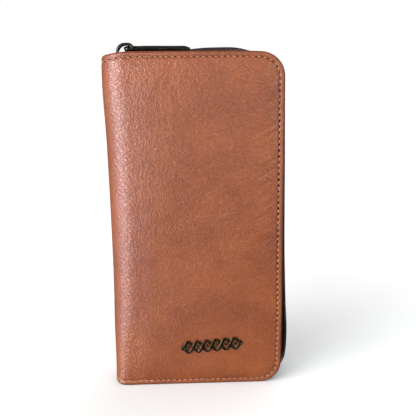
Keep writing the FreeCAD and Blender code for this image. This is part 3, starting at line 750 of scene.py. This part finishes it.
def track(run):
    """Points of the covers' edge in the zip's plane, and the outward direction there."""
    run = np.asarray(run, float)
    first = np.clip((run - TOP_RUN) / CORNER_R, 0, math.pi / 2)
    second = np.clip((run - TOP_RUN - CORNER_RUN - SIDE_RUN) / CORNER_R, 0, math.pi / 2)
    angle = math.pi / 2 - first - second
    down = np.clip(run - TOP_RUN - CORNER_RUN, 0, SIDE_RUN)
    back = np.maximum(run - (TRACK - TOP_RUN), 0)
    x = np.minimum(ZIP_START_X + run, EDGE_X - CORNER_R) + CORNER_R * np.cos(angle) - back
    z = HEIGHT - CORNER_R - down + CORNER_R * np.sin(angle)
    return x, z, np.cos(angle), np.sin(angle)


def zip_points(side, run, offset, depth):
    """Points beside the zip: offset beyond the covers' edge, depth from the zip's plane."""
    x, z, out_x, out_z = track(run)
    y = MID_Y + SIDES[side] * np.broadcast_to(np.asarray(depth, float), np.shape(run))
    return np.stack([x + out_x * offset, y, z + out_z * offset], -1)


def zip_coil(name, side, start, end):
    """One side's coil: a flattened helix whose heads reach across the joint line."""
    wire = 0.29                # the monofilament's radius
    per_turn = 12
    phase = 0.0 if side == "front" else math.pi
    turns = (end - start) / COIL_PITCH
    angle = np.linspace(0, 2 * math.pi * turns, int(turns * per_turn) + 1)
    run = start + COIL_PITCH * angle / (2 * math.pi)
    spin = 2 * math.pi * run / COIL_PITCH + phase
    offset = curve_through(COIL_OFFSETS, run) + (COIL_HALF_HEIGHT - wire) * np.sin(spin)
    depth = 0.95 - 1.12 * np.cos(spin)
    build = Build()
    build.tube(zip_points(side, run, offset, depth), wire, 6, up=(0.3, 0.9, 0.31))
    return build.make(name, COIL)


def zip_tape(name, side, start, end, steps):
    """The woven web from the cover's lip out to the coil, with its thickness and its hem."""
    shares = np.linspace(0, 1, 11)
    run = np.linspace(start, end, steps)
    centre = curve_through(COIL_OFFSETS, run)
    thick = 0.4
    hem_offset, hem_depth, coil_depth = -1.5, 10.0, 0.75
    points, coords = [], []
    for layer in (0.0, -thick):
        for share in (shares if layer == 0 else shares[::-1]):
            bow = 0.45 * math.sin(math.pi * share)
            offset = hem_offset + (centre - 0.45 - hem_offset) * share + bow + layer
            depth = hem_depth + (coil_depth - hem_depth) * share
            points.append(zip_points(side, run, offset, depth))
            coords.append(np.stack([run, np.full(steps, depth * 1.1), np.full(steps, layer)], -1))
    for share in (0.3, 0.9):
        points.append(zip_points(side, run, hem_offset - thick - share * 4.6, hem_depth - 0.1))
        coords.append(np.stack([run, np.full(steps, 12 + share * 4), np.zeros(steps)], -1))
    rows = len(points)
    faces = grid_faces(rows, steps, close_rows=True)
    if SIDES[side] < 0:
        faces = [face[::-1] for face in faces]
    return add_mesh(name, np.concatenate(points), faces, TAPE, np.concatenate(coords))


def coil_sewing(name, side, start, end):
    """Two rows of dark thread that hold the coil to the tape."""
    build = Build()
    run = np.arange(start, end, COIL_PITCH / 2)
    centre = curve_through(COIL_OFFSETS, run)
    for depth, phase in ((1.15, 0.0), (1.75, math.pi)):
        high = centre + 0.80 + 0.16 * np.cos(np.arange(len(run)) * math.pi + phase)
        build.tube(zip_points(side, run, high, depth), 0.16, 5)
    return build.make(name, DARK_THREAD)


def make_zip(side):
    """One side of the zip, in two stretches: the top one, which the slider passes, on meshes of its own, and
    the one round the wallet.
    """
    for part, start, end, steps in (("top", 0.0, PART_AT, 60), ("round", PART_AT, TRACK, 320)):
        name = f"{side}_zip_{part}"
        coil = zip_coil(name + "_coil", side, start, end)
        thread = coil_sewing(name + "_coil_thread", side, start, end)
        tape = zip_tape(name + "_tape", side, start, end, steps)
        settle(coil, side + "_cover", "zip_coil", side + "_zip_coil")
        settle(thread, side + "_cover", "zip_tape")
        settle(tape, side + "_cover", "zip_tape", side + "_zip_tape")
        if part == "top":
            for piece in (coil, thread, tape):
                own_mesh(piece)


# ---- metal plates ----
def rounded_box(x0, x1, y0, y1, radius):
    """Outline of a box with round corners."""
    right, left, top, bottom = x1 - radius, x0 + radius, y1 - radius, y0 + radius
    outline = []
    for quarter, (x, y) in enumerate(((right, top), (left, top), (left, bottom), (right, bottom))):
        angles = np.radians(np.linspace(90 * quarter, 90 * quarter + 90, 7))
        outline += [(x + radius * math.cos(a), y + radius * math.sin(a)) for a in angles]
    return outline


def plate(outlines, thick, bevel, place):
    """A flat plate with holes and rounded edges; place turns its (u, v, w) into the object's x, y, z."""
    data = bpy.data.curves.new("plate", "CURVE")
    data.dimensions = "2D"
    data.fill_mode = "BOTH"
    data.extrude = thick / 2 - bevel
    data.bevel_depth = bevel
    data.bevel_resolution = 3
    for outline in outlines:
        line = data.splines.new("POLY")
        line.points.add(len(outline) - 1)
        line.points.foreach_set("co", [c for u, v in outline for c in (u, v, 0.0, 1.0)])
        line.use_cyclic_u = True
    holder = link(bpy.data.objects.new("plate", data))
    bpy.context.view_layer.update()
    mesh = bpy.data.meshes.new_from_object(holder.evaluated_get(bpy.context.evaluated_depsgraph_get()))
    points = np.array([place(*v.co) for v in mesh.vertices])
    faces = [tuple(f.vertices) for f in mesh.polygons]
    bpy.data.objects.remove(holder)
    bpy.data.curves.remove(data)
    bpy.data.meshes.remove(mesh)
    return points, faces


def crisp(piece):
    """Shade a metal piece smooth but for its real edges."""
    piece.data.set_sharp_from_angle(angle=math.radians(38))


SLIDE_AXIS = Vector(JOINTS["slider_travel"]["axis"])
SLIDER_Z = (SLIDER_LOW.z + SLIDER_HIGH.z) / 2
SLIDER_HALF = (SLIDER_HIGH.y - SLIDER_LOW.y) / 2
PULL_LOW, PULL_HIGH = span("zip_puller")
PULL_PIN = Vector(JOINTS["puller_swing"]["pos_m"]) / MM
PULL_LIE = math.radians(12)          # the puller lies tilted about its length


def on_slider(u, v, w):
    """Slider coordinates: u along its run, v across, w outward."""
    out = Vector((-SLIDE_AXIS.z, 0, SLIDE_AXIS.x))
    spot = Vector((SLIDER_X, MID_Y, SLIDER_Z)) + SLIDE_AXIS * u + out * w
    spot.y += v
    return tuple(spot)


def slider_plan(grow):
    """Outline of the slider, grown all round: shoulders at the nose, a waist and a narrower tail."""
    nose, tail = -5.4 - grow, 5.4 + grow
    wide, slim = SLIDER_HALF + grow, SLIDER_HALF - 0.9 + grow
    half = [(nose + 0.2, 0.0), (nose, 1.2), (nose + 0.35, wide - 1.0), (nose + 1.5, wide - 0.1),
            (nose + 2.6, wide), (nose + 4.4, wide - 0.25), (nose + 6.2, slim), (tail - 1.2, slim - 0.05),
            (tail - 0.3, slim - 0.5), (tail, slim - 1.2)]
    return half + [(u, -v) for u, v in reversed(half[1:])]


def make_slider():
    """The slider's two plates, their turned flanges and the wedge at its nose."""
    body = Build()
    bevel = 0.2
    for level in (1.56, -1.74):
        body.add(*plate([slider_plan(-bevel)], 0.5, bevel, lambda u, v, w: on_slider(u, v, w + level)))
    for level in (1.0, -1.44):
        for hand in (-1, 1):
            rail = [(u, hand * (v - 0.28)) for u, v in slider_plan(0)[2:10] if v > 0]
            body.tube([on_slider(u, v, level) for u, v in rail], 0.32, 8, up=(0, 0, 1))
    wedge = [(-5.3, 0.0), (-5.05, 0.6), (-4.78, 0.25), (-4.78, -0.25), (-5.05, -0.6)]
    body.add(*plate([wedge], 3.1, 0.1, on_slider))
    piece = body.make("zip_slider_body", METAL)
    settle(piece, "slider", "dark_metal", "zip_slider")
    crisp(piece)


def make_crown():
    """The tall looped crown: one strap bent over the puller's pin."""
    base = SLIDER_Z + 1.75
    rise = span("zip_slider_crown")[1].z - base
    # Places along the slider, and shares of the crown's height.
    shape = [(-4.4, -0.06), (-4.3, 0.1), (-3.8, 0.38), (-2.8, 0.66), (-1.4, 0.84), (0.2, 0.895), (1.6, 0.89),
             (2.7, 0.8), (3.5, 0.6), (3.9, 0.38), (4.05, 0.12), (4.1, -0.06)]
    at = np.linspace(0, 1, len(shape))
    fine = np.linspace(0, 1, 60)
    forward, up = (curve_through(list(zip(at, values)), fine) for values in zip(*shape))
    path = np.stack([SLIDER_X + forward, np.full(60, MID_Y), base + rise * up], -1)
    strap = Build()
    strap.tube(path, 1.3 - 0.25 * np.cos(fine * 2 * math.pi) ** 2, 16, flat=0.78)
    settle(strap.make("zip_slider_loop", METAL), "slider", "dark_metal", "zip_slider_crown")


def make_puller():
    """A long slim bar: an eye round the crown, its cheeks and pin, a raised rim and a slot."""
    bevel = 0.42
    thick = PULL_HIGH.z - PULL_LOW.z
    half = (PULL_HIGH.y - PULL_LOW.y) / 2
    start, end = PULL_LOW.x, PULL_HIGH.x
    level = PULL_PIN.z - 0.04

    def lying(u, v, w):
        w -= 0.8 * float(ease(u, end - 4.5, end))
        return (u, MID_Y + v * math.cos(PULL_LIE) - w * math.sin(PULL_LIE),
                level + v * math.sin(PULL_LIE) + w * math.cos(PULL_LIE))

    outline = rounded_box(start + 0.35 + bevel, end - bevel, -half + bevel, half - bevel, 2.1)
    eye = rounded_box(PULL_PIN.x + 0.55 + bevel, PULL_PIN.x + 6.4 + bevel, -1.6 - bevel, 1.6 + bevel, 1.3)
    slot = rounded_box(end - 5.6, end - 2.5, -1.0 - bevel * 0.5, 1.0 + bevel * 0.5, 1.15)
    bar = Build()
    bar.add(*plate([outline, eye, slot], thick, bevel, lying))
    rim = rounded_box(PULL_PIN.x + 8.4, end - 1.5, -half + 1.25, half - 1.25, 1.5)
    bar.tube([lying(u, v, thick / 2 - 0.02) for u, v in rim], 0.22, 8, up=(0, 0, 1), closed=True)
    for hand in (-1, 1):
        cheek = [lying(start + u, hand * 2.25, -0.62 - 0.25 * drop)
                 for u, drop in ((0.9, 0), (2, 1), (7, 1), (11, 0.3), (14, -0.8))]
        bar.tube(cheek, 0.8, 10, flat=0.7, up=(0, 0, 1))
    pin = [(PULL_PIN.x, MID_Y + v, PULL_PIN.z) for v in (-1.9, -1, 1, 1.9)]
    bar.tube(pin, 0.72, 14, up=(0, 0, 1))
    piece = bar.make("zip_pull_bar", METAL)
    settle(piece, "puller", "dark_metal", "zip_puller")
    crisp(piece)


# ---- ornament ----
def make_ornament():
    """An open braid of two rounded strands that pass over and under, between two studs."""
    low, high = span("ornament_braid")
    middle = (low + high) / 2
    length = 36.0
    tilt = math.radians(4.0)
    face = low.y + 0.45
    stud_r = 1.25

    def place(u, v, out):
        return (middle.x + u * math.cos(tilt) - v * math.sin(tilt), face - out,
                middle.z + u * math.sin(tilt) + v * math.cos(tilt))

    build = Build()
    waves, tall, half = 3, 3.3, length / 2 - 1.5
    share = np.linspace(0, 1, 220)
    for phase in (0, math.pi):
        angle = 2 * math.pi * waves * share + phase
        over = 0.22 * np.cos(angle)
        path = [place(-half + 2 * half * t, tall * math.sin(a), o) for t, a, o in zip(share, angle, over)]
        build.tube(path, 0.98 - 0.12 * np.abs(np.sin(angle)), 12, flat=0.55, up=(0.0, 0.0, 1.0))
    angles = np.linspace(0, 2 * math.pi, 25)[:-1]
    for hand in (-1, 1):
        ring = [place(hand * (half + 0.1) + stud_r * math.cos(a), stud_r * math.sin(a), 0.1) for a in angles]
        build.tube(ring, 0.5, 10, flat=0.9, closed=True)
        dome = [place(hand * (half + 0.1), 0, w) for w in (-0.5, 0.1, 0.3, 0.42)]
        build.tube(dome, [1.0, 1.0, 0.75, 0.25], 14, up=(1, 0, 0))
    for k in range(2 * waves):
        u = -half + 2 * half * (k + 0.5) / (2 * waves)
        bead = [place(u, 0, w) for w in (-0.5, 0.05, 0.28, 0.4)]
        build.tube(bead, [0.85, 0.85, 0.62, 0.2], 12, up=(1, 0, 0))
    piece = build.make("ornament_braid_bar", METAL_ORNAMENT)
    settle(piece, "front_cover", "dark_metal", "ornament_braid", "ornament_pins")


# ---- inside ----
def slab(build, low, high, across_steps, up_steps, face_rise=None):
    """A soft rectangular panel in the XZ plane; face_rise(x, z, hand) lifts each broad face."""
    edge = 0.35                # how far in from its rim the panel thins
    xs = np.linspace(low.x, high.x, across_steps)
    zs = np.linspace(low.z, high.z, up_steps)
    grid_x, grid_z = np.meshgrid(xs, zs)
    round_off = (1 - np.exp(-np.minimum(np.minimum(grid_x - low.x, high.x - grid_x),
                                        np.minimum(grid_z - low.z, high.z - grid_z)) / edge))
    middle = (low.y + high.y) / 2
    half = (high.y - low.y) / 2
    for hand in (-1, 1):
        lift = face_rise(grid_x, grid_z, hand) if face_rise else 0.0
        y = middle + hand * (half * (0.25 + 0.75 * round_off) + lift)
        points = np.stack([grid_x, y, grid_z], -1).reshape(-1, 3)
        coords = np.stack([grid_x, grid_z, np.full(grid_x.shape, hand * 3.0)], -1).reshape(-1, 3)
        faces = grid_faces(up_steps, across_steps)
        build.add(points, faces if hand < 0 else [f[::-1] for f in faces], coords)
    count = across_steps * up_steps
    rim = (list(range(across_steps)) + [r * across_steps + across_steps - 1 for r in range(1, up_steps)]
           + [(up_steps - 1) * across_steps + c for c in range(across_steps - 2, -1, -1)]
           + [r * across_steps for r in range(up_steps - 2, 0, -1)])
    first = len(build.points) - 2 * count
    build.faces += [(first + a, first + count + a, first + count + b, first + b)
                    for a, b in zip(rim, rim[1:] + rim[:1])]


def seam(build, start, end, out):
    """A straight row of stitches standing out from a face."""
    pitch, radius = 2.9, 0.24
    start, end, out = Vector(start), Vector(end), Vector(out)
    run = end - start
    count = max(int(run.length / pitch), 1)
    step = run / count
    for i in range(count):
        a = start + step * i + step * 0.13
        b = start + step * (i + 1) - step * 0.13
        path = [a - out * 0.12, a + (b - a) * 0.15 + out * 0.08, (a + b) / 2 + out * 0.14,
                b - (b - a) * 0.15 + out * 0.08, b - out * 0.12]
        build.tube(path, radius, 6, up=tuple(run.cross(out)))


def make_card_panels(side):
    """Stepped card panels with turned mouths, a crease behind each mouth and their stitching."""
    inward = -SIDES[side]
    threads = Build()
    for row in range(1, 5):
        node = f"{side}_card_slot_{row}"
        low, high = span(node)
        panel = Build()

        def lift(x, z, hand, high=high):
            mouth = high.x - x
            bead = 0.16 * np.exp(-((mouth - 0.5) / 0.5) ** 2)
            crease = -0.10 * np.exp(-((mouth - 2.0) / 0.25) ** 2)
            divide = -0.12 * np.exp(-((z - HEIGHT / 2) / 0.5) ** 2)
            return hand * (bead + crease + divide) * (hand == inward)

        slab(panel, low, high, 90, 120, lift)
        settle(panel.make(node + "_panel", INNER_LEATHER), side + "_cover", "inner_leather", node)
        face = high.y if inward > 0 else low.y
        out = (0, inward, 0)
        seam(threads, (high.x - 1.3, face, low.z + 1), (high.x - 1.3, face, high.z - 1), out)
        behind = span(f"{side}_card_slot_{row + 1}")[1].x if row < 4 else low.x + 1
        seam(threads, (behind + 0.4, face, HEIGHT / 2), (high.x - 1.5, face, HEIGHT / 2), out)
        for z in (low.z + 1.3, high.z - 1.3):
            seam(threads, (behind + 0.4, face, z), (high.x - 0.8, face, z), out)
    settle(threads.make(side + "_card_stitching", THREAD), side + "_cover", "inner_leather")


def make_lining(side):
    """The cloth lining of a cover and its half of the spine, in one piece."""
    depth_out = MID_Y - span("front_lining")[0].y
    thick = 0.4
    inset = 2.5
    hem = 10.5                 # the last stretch, which follows the rounded corners
    corner = CORNER_R - inset
    radius = FOLD_R - 1.3
    fold_run = radius * math.pi / 2
    reach = EDGE_X - inset - FOLD_X
    along = np.concatenate([np.linspace(0, fold_run, 26)[:-1], fold_run + np.linspace(0, reach - hem, 40),
                            fold_run + reach - hem + np.linspace(0, hem, 26)[1:]])
    rows = 60
    points, coords = [], []
    for layer in (0.0, thick):
        for share in np.linspace(0, 1, rows):
            for run in along:
                angle = min(run, fold_run) / radius
                flat = max(run - fold_run, 0)
                x = FOLD_X - radius * math.cos(angle) + flat
                depth = radius * math.sin(angle) - layer * math.sin(angle)
                depth -= ease(flat, 0, 8) * (radius - depth_out)
                over = max(x - (EDGE_X - CORNER_R), 0)
                curve = corner - math.sqrt(max(corner ** 2 - over ** 2, 0))
                end = inset + curve + 1.9 * (1 - ease(run, fold_run * 0.6, fold_run + 6))
                z = end + share * (HEIGHT - 2 * end)
                points.append((x + layer * math.cos(angle), MID_Y + SIDES[side] * depth, z))
                coords.append((run, z, layer))
    faces = two_layer_faces(rows, len(along))
    if SIDES[side] > 0:
        faces = [face[::-1] for face in faces]
    piece = add_mesh(side + "_cloth_lining", points, faces, LINING, coords)
    bend_at_spine(piece)
    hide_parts(side + "_lining", "spine_lining")


def make_coin_pocket():
    """The middle pocket: two cloth walls with leather bound mouths, and its strip to the spine."""
    threads = Build()
    for side, hand in SIDES.items():
        node = f"coin_pocket_{side}_wall"
        low, high = span(node)
        wall = Build()
        slab(wall, low, high, 50, 110)
        settle(wall.make(node + "_cloth", LINING), "spine", "lining", node)
        binding = Build()
        face = low.y if hand < 0 else high.y
        bind_low = Vector((high.x - 8.0, min(face, face + hand * 0.5), low.z))
        bind_high = Vector((high.x + 1.6, max(face, face + hand * 0.5), high.z))
        slab(binding, bind_low, bind_high, 20, 110)
        settle(binding.make(f"coin_pocket_{side}_binding", INNER_LEATHER), "spine", "inner_leather")
        for x in (bind_low.x + 1.2, bind_high.x - 1.2):
            y = face + hand * 0.5
            seam(threads, (x, y, low.z + 1), (x, y, high.z - 1), (0, hand, 0))
        tape_node = f"coin_zip_tape_{side}"
        tape = Build()
        slab(tape, *span(tape_node), 14, 110)
        settle(tape.make(f"coin_zip_{side}_tape", TAPE), "spine", "zip_tape", tape_node)
        make_coin_coil(side, hand)
    low, high = span("coin_pocket_spine_strip")
    strip = Build()
    slab(strip, Vector((low.x, MID_Y - 0.4, low.z)), Vector((low.x + 16, MID_Y + 0.4, high.z)), 24, 90)
    slab(strip, Vector((high.x - 3, low.y, low.z)), high, 8, 90)
    settle(strip.make("coin_pocket_strip_cloth", LINING), "spine", "lining", "coin_pocket_spine_strip")
    settle(threads.make("coin_pocket_stitching", THREAD), "spine", "inner_leather")


def make_coin_coil(side, hand):
    """The small coil of the coin pocket, one side."""
    low, high = span(f"coin_zip_coil_{side}")
    pitch = 1.0
    turns = (high.z - low.z) / pitch
    angle = np.linspace(0, 2 * math.pi * turns, int(turns * 10) + 1)
    spin = angle + (0 if hand < 0 else math.pi)
    middle = (low + high) / 2
    path = np.stack([middle.x + 0.46 * np.sin(spin), MID_Y + hand * (0.78 - 0.92 * np.cos(spin)),
                     low.z + pitch * angle / (2 * math.pi)], -1)
    build = Build()
    build.tube(path, 0.23, 6, up=(0.3, 0.9, 0.31))
    piece = build.make(f"coin_zip_{side}_coil", COIL)
    settle(piece, "spine", "zip_coil", f"coin_zip_coil_{side}")
    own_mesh(piece)


def make_coin_slider():
    """The coin pocket's slider, its loop and its drop shaped puller."""
    low, high = span("coin_zip_slider")
    centre_z = (low.z + high.z) / 2
    half = (high.y - low.y) / 2

    def facing(level):
        return lambda u, v, w: (level + w, MID_Y + v, centre_z + u)

    plan = [(-3.8, 1.4), (-3.9, 0), (-3.8, -1.4), (-3.2, -2.2), (0.4, -2.3), (2.0, -half + 0.2),
            (3.4, -half + 0.4), (3.9, -1.2), (3.9, 1.2), (3.4, half - 0.4), (2.0, half - 0.2), (0.4, 2.3),
            (-3.2, 2.2)]
    body = Build()
    body.add(*plate([plan], 0.6, 0.2, facing(high.x - 0.3)))
    body.add(*plate([[(u, v * 0.42) for u, v in plan]], 0.6, 0.2, facing(low.x + 0.3)))
    for hand in (-1, 1):
        rail = [(high.x - 0.9, MID_Y + hand * (2.75 if u > 1 else 2.45), centre_z + u)
                for u in np.linspace(-3, 3.4, 10)]
        body.tube(rail, 0.3, 8, up=(1, 0, 0))
    body.tube([(x, MID_Y, high.z - 1.1) for x in (low.x + 0.3, low.x + 1.5, high.x - 0.3)], 0.5, 10)
    piece = body.make("coin_slider_body", METAL)
    crown_low, crown_high = span("coin_zip_slider_crown")
    angle = np.linspace(0, math.pi, 24)
    path = np.stack([crown_low.x - 0.1 + 2.5 * np.sin(angle) ** 0.8, np.full(24, MID_Y),
                     (crown_low.z + crown_high.z) / 2 + 2.6 * np.cos(angle)], -1)
    loop = Build()
    loop.tube(path, 0.8, 12, flat=0.5)
    arch = loop.make("coin_slider_loop", METAL)
    settle(piece, "coin_slider", "dark_metal", "coin_zip_slider")
    settle(arch, "coin_slider", "dark_metal", "coin_zip_slider_crown")
    pull_low, pull_high = span("coin_zip_puller")
    x = (pull_low.x + pull_high.x) / 2
    top, bottom = pull_high.z, pull_low.z
    bevel = 0.28
    outline = rounded_box(bottom + bevel, top - bevel, -2 + bevel, 2 - bevel, 1.5)
    eye = rounded_box(top - 5.6, top - 1.3, -0.85 - bevel, 0.85 + bevel, 0.9)
    window = rounded_box(bottom + 2.0, bottom + 8.0, -0.7 - bevel, 0.7 + bevel, 0.8)
    bar = Build()
    bar.add(*plate([outline, eye, window], 1.0, bevel, lambda u, v, w: (x + w, MID_Y + v, u)))
    puller = bar.make("coin_pull_bar", METAL)
    settle(puller, "coin_puller", "dark_metal", "coin_zip_puller")
    crisp(puller)
    crisp(piece)


def make_gusset(side, end):
    """A folded cloth gusset between a cover and the coin pocket, built folded; nothing here fans it open."""
    node = f"gusset_{side}_{end}"
    low, high = span(node)
    hand = SIDES[side]
    edge_z = high.z if end == "top" else low.z
    inward = -1 if end == "top" else 1
    depth = high.z - low.z
    cover_y = low.y if hand < 0 else high.y
    pocket_y = high.y if hand < 0 else low.y
    shares = np.linspace(0, 1, 33)
    columns = np.linspace(low.x, high.x, 44)
    thick = 0.3
    points, coords = [], []
    for layer in (0.0, thick):
        for share in shares:
            fold = 1 - abs(2 * share - 1) ** 1.15
            y = cover_y + (pocket_y - cover_y) * (0.08 + 0.84 * share)
            for x in columns:
                soft = 0.35 * math.sin(0.17 * (x - low.x) + 3 * share)
                z = edge_z + inward * (depth - 1.2) * fold + inward * (layer + soft * fold)
                points.append((x, y + 0.04 * soft, z))
                coords.append((x, share * 2 * depth, layer))
    faces = two_layer_faces(len(shares), len(columns))
    piece = add_mesh(node + "_cloth", points, faces, LINING, coords)
    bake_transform(piece)
    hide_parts(node)


def make_end_tabs():
    """Leather tabs that cover the zip's ends inside the spine."""
    for end in ("top", "bottom"):
        node = "zip_end_tab_" + end
        low, high = span(node)
        outline = rounded_box(low.x + 0.3, high.x - 0.3, low.y + 0.3, high.y - 0.3, 1.2)
        tab = Build()
        middle = (low.z + high.z) / 2
        tab.add(*plate([outline], high.z - low.z, 0.3, lambda u, v, w: (u, v, middle + w)))
        settle(tab.make(node + "_leather", INNER_LEATHER), "spine", "inner_leather", node)


# ---- stage ----
# Suns: name, where it shines from, strength, how wide its window looks in degrees, colour.
SUNS = (
    ("window", (-0.66, -0.70, 0.3), 2.35, 50, (1.0, 0.96, 0.98)),
    ("high_window", (-0.75, -0.45, 0.95), 1.1, 34, (1.0, 0.97, 0.95)),
    ("skylight", (0.12, -0.1, 1.0), 1.3, 90, (1.0, 0.99, 0.97)),
    ("far_window", (0.55, 0.75, 0.4), 0.9, 80, (1.0, 0.99, 0.98)))
# Reflecting cards: name, place, size, radiance, colour.
CARDS = (
    ("tall_card", (-0.43, -0.40, 0.12), (0.22, 0.86), 20.0, (0.90, 0.89, 1.0)),
    ("upper_card", (-0.45, -0.38, 0.25), (0.20, 0.30), 17.0, (0.84, 0.86, 1.0)),
    ("side_card", (-0.60, 0.02, 0.12), (0.40, 0.8), 2.0, (1.0, 0.93, 0.98)),
    ("right_card", (0.40, -0.52, 0.28), (0.20, 0.36), 12.0, (0.97, 0.93, 1.0)),
    ("high_card", (0.10, -0.50, 0.70), (0.35, 0.35), 2.0, (1.0, 0.95, 0.95)))
FLOOR_REACH = 6000.0


def lamp(name, kind, energy, color):
    """A lamp of one kind, not yet aimed."""
    data = bpy.data.lights.new(name, kind)
    data.energy = energy
    data.color = color
    return link(bpy.data.objects.new(name, data))


def sun(name, toward, strength, spread, color):
    """Even matt light from one side of the room."""
    made = lamp(name, "SUN", strength, color)
    made.data.angle = math.radians(spread)
    made.rotation_euler = Vector(toward).to_track_quat("Z", "Y").to_euler()
    made.visible_glossy = False


def reflector(name, place, size, radiance, color):
    """A bright card that only shows in glossy surfaces, facing the wallet."""
    card = lamp(name, "AREA", radiance * math.pi * size[0] * size[1], color)
    card.data.shape = "RECTANGLE"
    card.data.size, card.data.size_y = size
    card.location = place
    card.rotation_euler = (Vector((0, 0, 0.1)) - Vector(place)).to_track_quat("-Z", "Y").to_euler()
    card.visible_diffuse = False
    card.visible_camera = False


def make_room():
    """White surroundings, full bright to the camera and dimmer as light and as reflections."""
    world = bpy.data.worlds.new("room")
    world.use_nodes = True
    nodes, links = world.node_tree.nodes, world.node_tree.links
    rays = nodes.new("ShaderNodeLightPath")

    def by_ray(kind, otherwise, then):
        made = nodes.new("ShaderNodeMapRange")
        made.inputs["To Min"].default_value = otherwise
        made.inputs["To Max"].default_value = then
        links.new(rays.outputs[kind], made.inputs["Value"])
        return made.outputs["Result"]

    strength = nodes.new("ShaderNodeMath")
    strength.operation = "MULTIPLY"
    links.new(by_ray("Is Camera Ray", 0.32, 1.0), strength.inputs[0])
    links.new(by_ray("Is Glossy Ray", 1.0, 0.5), strength.inputs[1])
    background = nodes["Background"]
    background.inputs["Color"].default_value = (1, 1, 1, 1)
    links.new(strength.outputs[0], background.inputs["Strength"])
    bpy.context.scene.world = world


def make_stage():
    """Pale floor, white room, windows on the left, above and behind, and their reflections."""
    floor_look = Look("pale_floor", base_color=(0.84, 0.865, 0.87, 1), roughness=0.8, specular_ior_level=0.1)
    corners = [(x * FLOOR_REACH, y * FLOOR_REACH, -0.02) for x, y in ((-1, -1), (1, -1), (1, 1), (-1, 1))]
    floor = add_mesh("floor", corners, [(0, 1, 2, 3)], floor_look.done())
    floor.visible_glossy = False
    floor.visible_shadow = False
    make_room()
    for row in SUNS:
        sun(*row)
    for row in CARDS:
        reflector(*row)
    bpy.context.scene.view_settings.view_transform = "Standard"


CAMERA_PLACE = (-0.00675, -0.3355, 0.1965)


def make_camera():
    """A camera a third of a metre in front, a little above, looking slightly down."""
    pitch, yaw, roll = math.radians(14.96), math.radians(-1.90), math.radians(-0.55)
    level_right = Vector((math.cos(yaw), math.sin(yaw), 0))
    level_ahead = Vector((-math.sin(yaw), math.cos(yaw), 0))
    ahead = level_ahead * math.cos(pitch) - Vector((0, 0, math.sin(pitch)))
    level_up = level_ahead * math.sin(pitch) + Vector((0, 0, math.cos(pitch)))
    right = level_right * math.cos(roll) + level_up * math.sin(roll)
    up = -level_right * math.sin(roll) + level_up * math.cos(roll)
    data = bpy.data.cameras.new("camera")
    data.sensor_width = 36.0
    data.lens = 51.92
    data.clip_start = 0.01
    camera = link(bpy.data.objects.new("camera", data))
    turn = Matrix((right, up, -ahead)).transposed().to_4x4()
    camera.matrix_world = Matrix.Translation(CAMERA_PLACE) @ turn
    bpy.context.scene.camera = camera


def main():
    """Every piece, then the stage and the camera."""
    for side in SIDES:
        make_cover(side)
        make_zip(side)
        make_lining(side)
        make_card_panels(side)
        for end in ("top", "bottom"):
            make_gusset(side, end)
    make_slider()
    make_crown()
    make_puller()
    make_ornament()
    make_coin_pocket()
    make_coin_slider()
    make_end_tabs()
    make_stage()
    make_camera()


main()
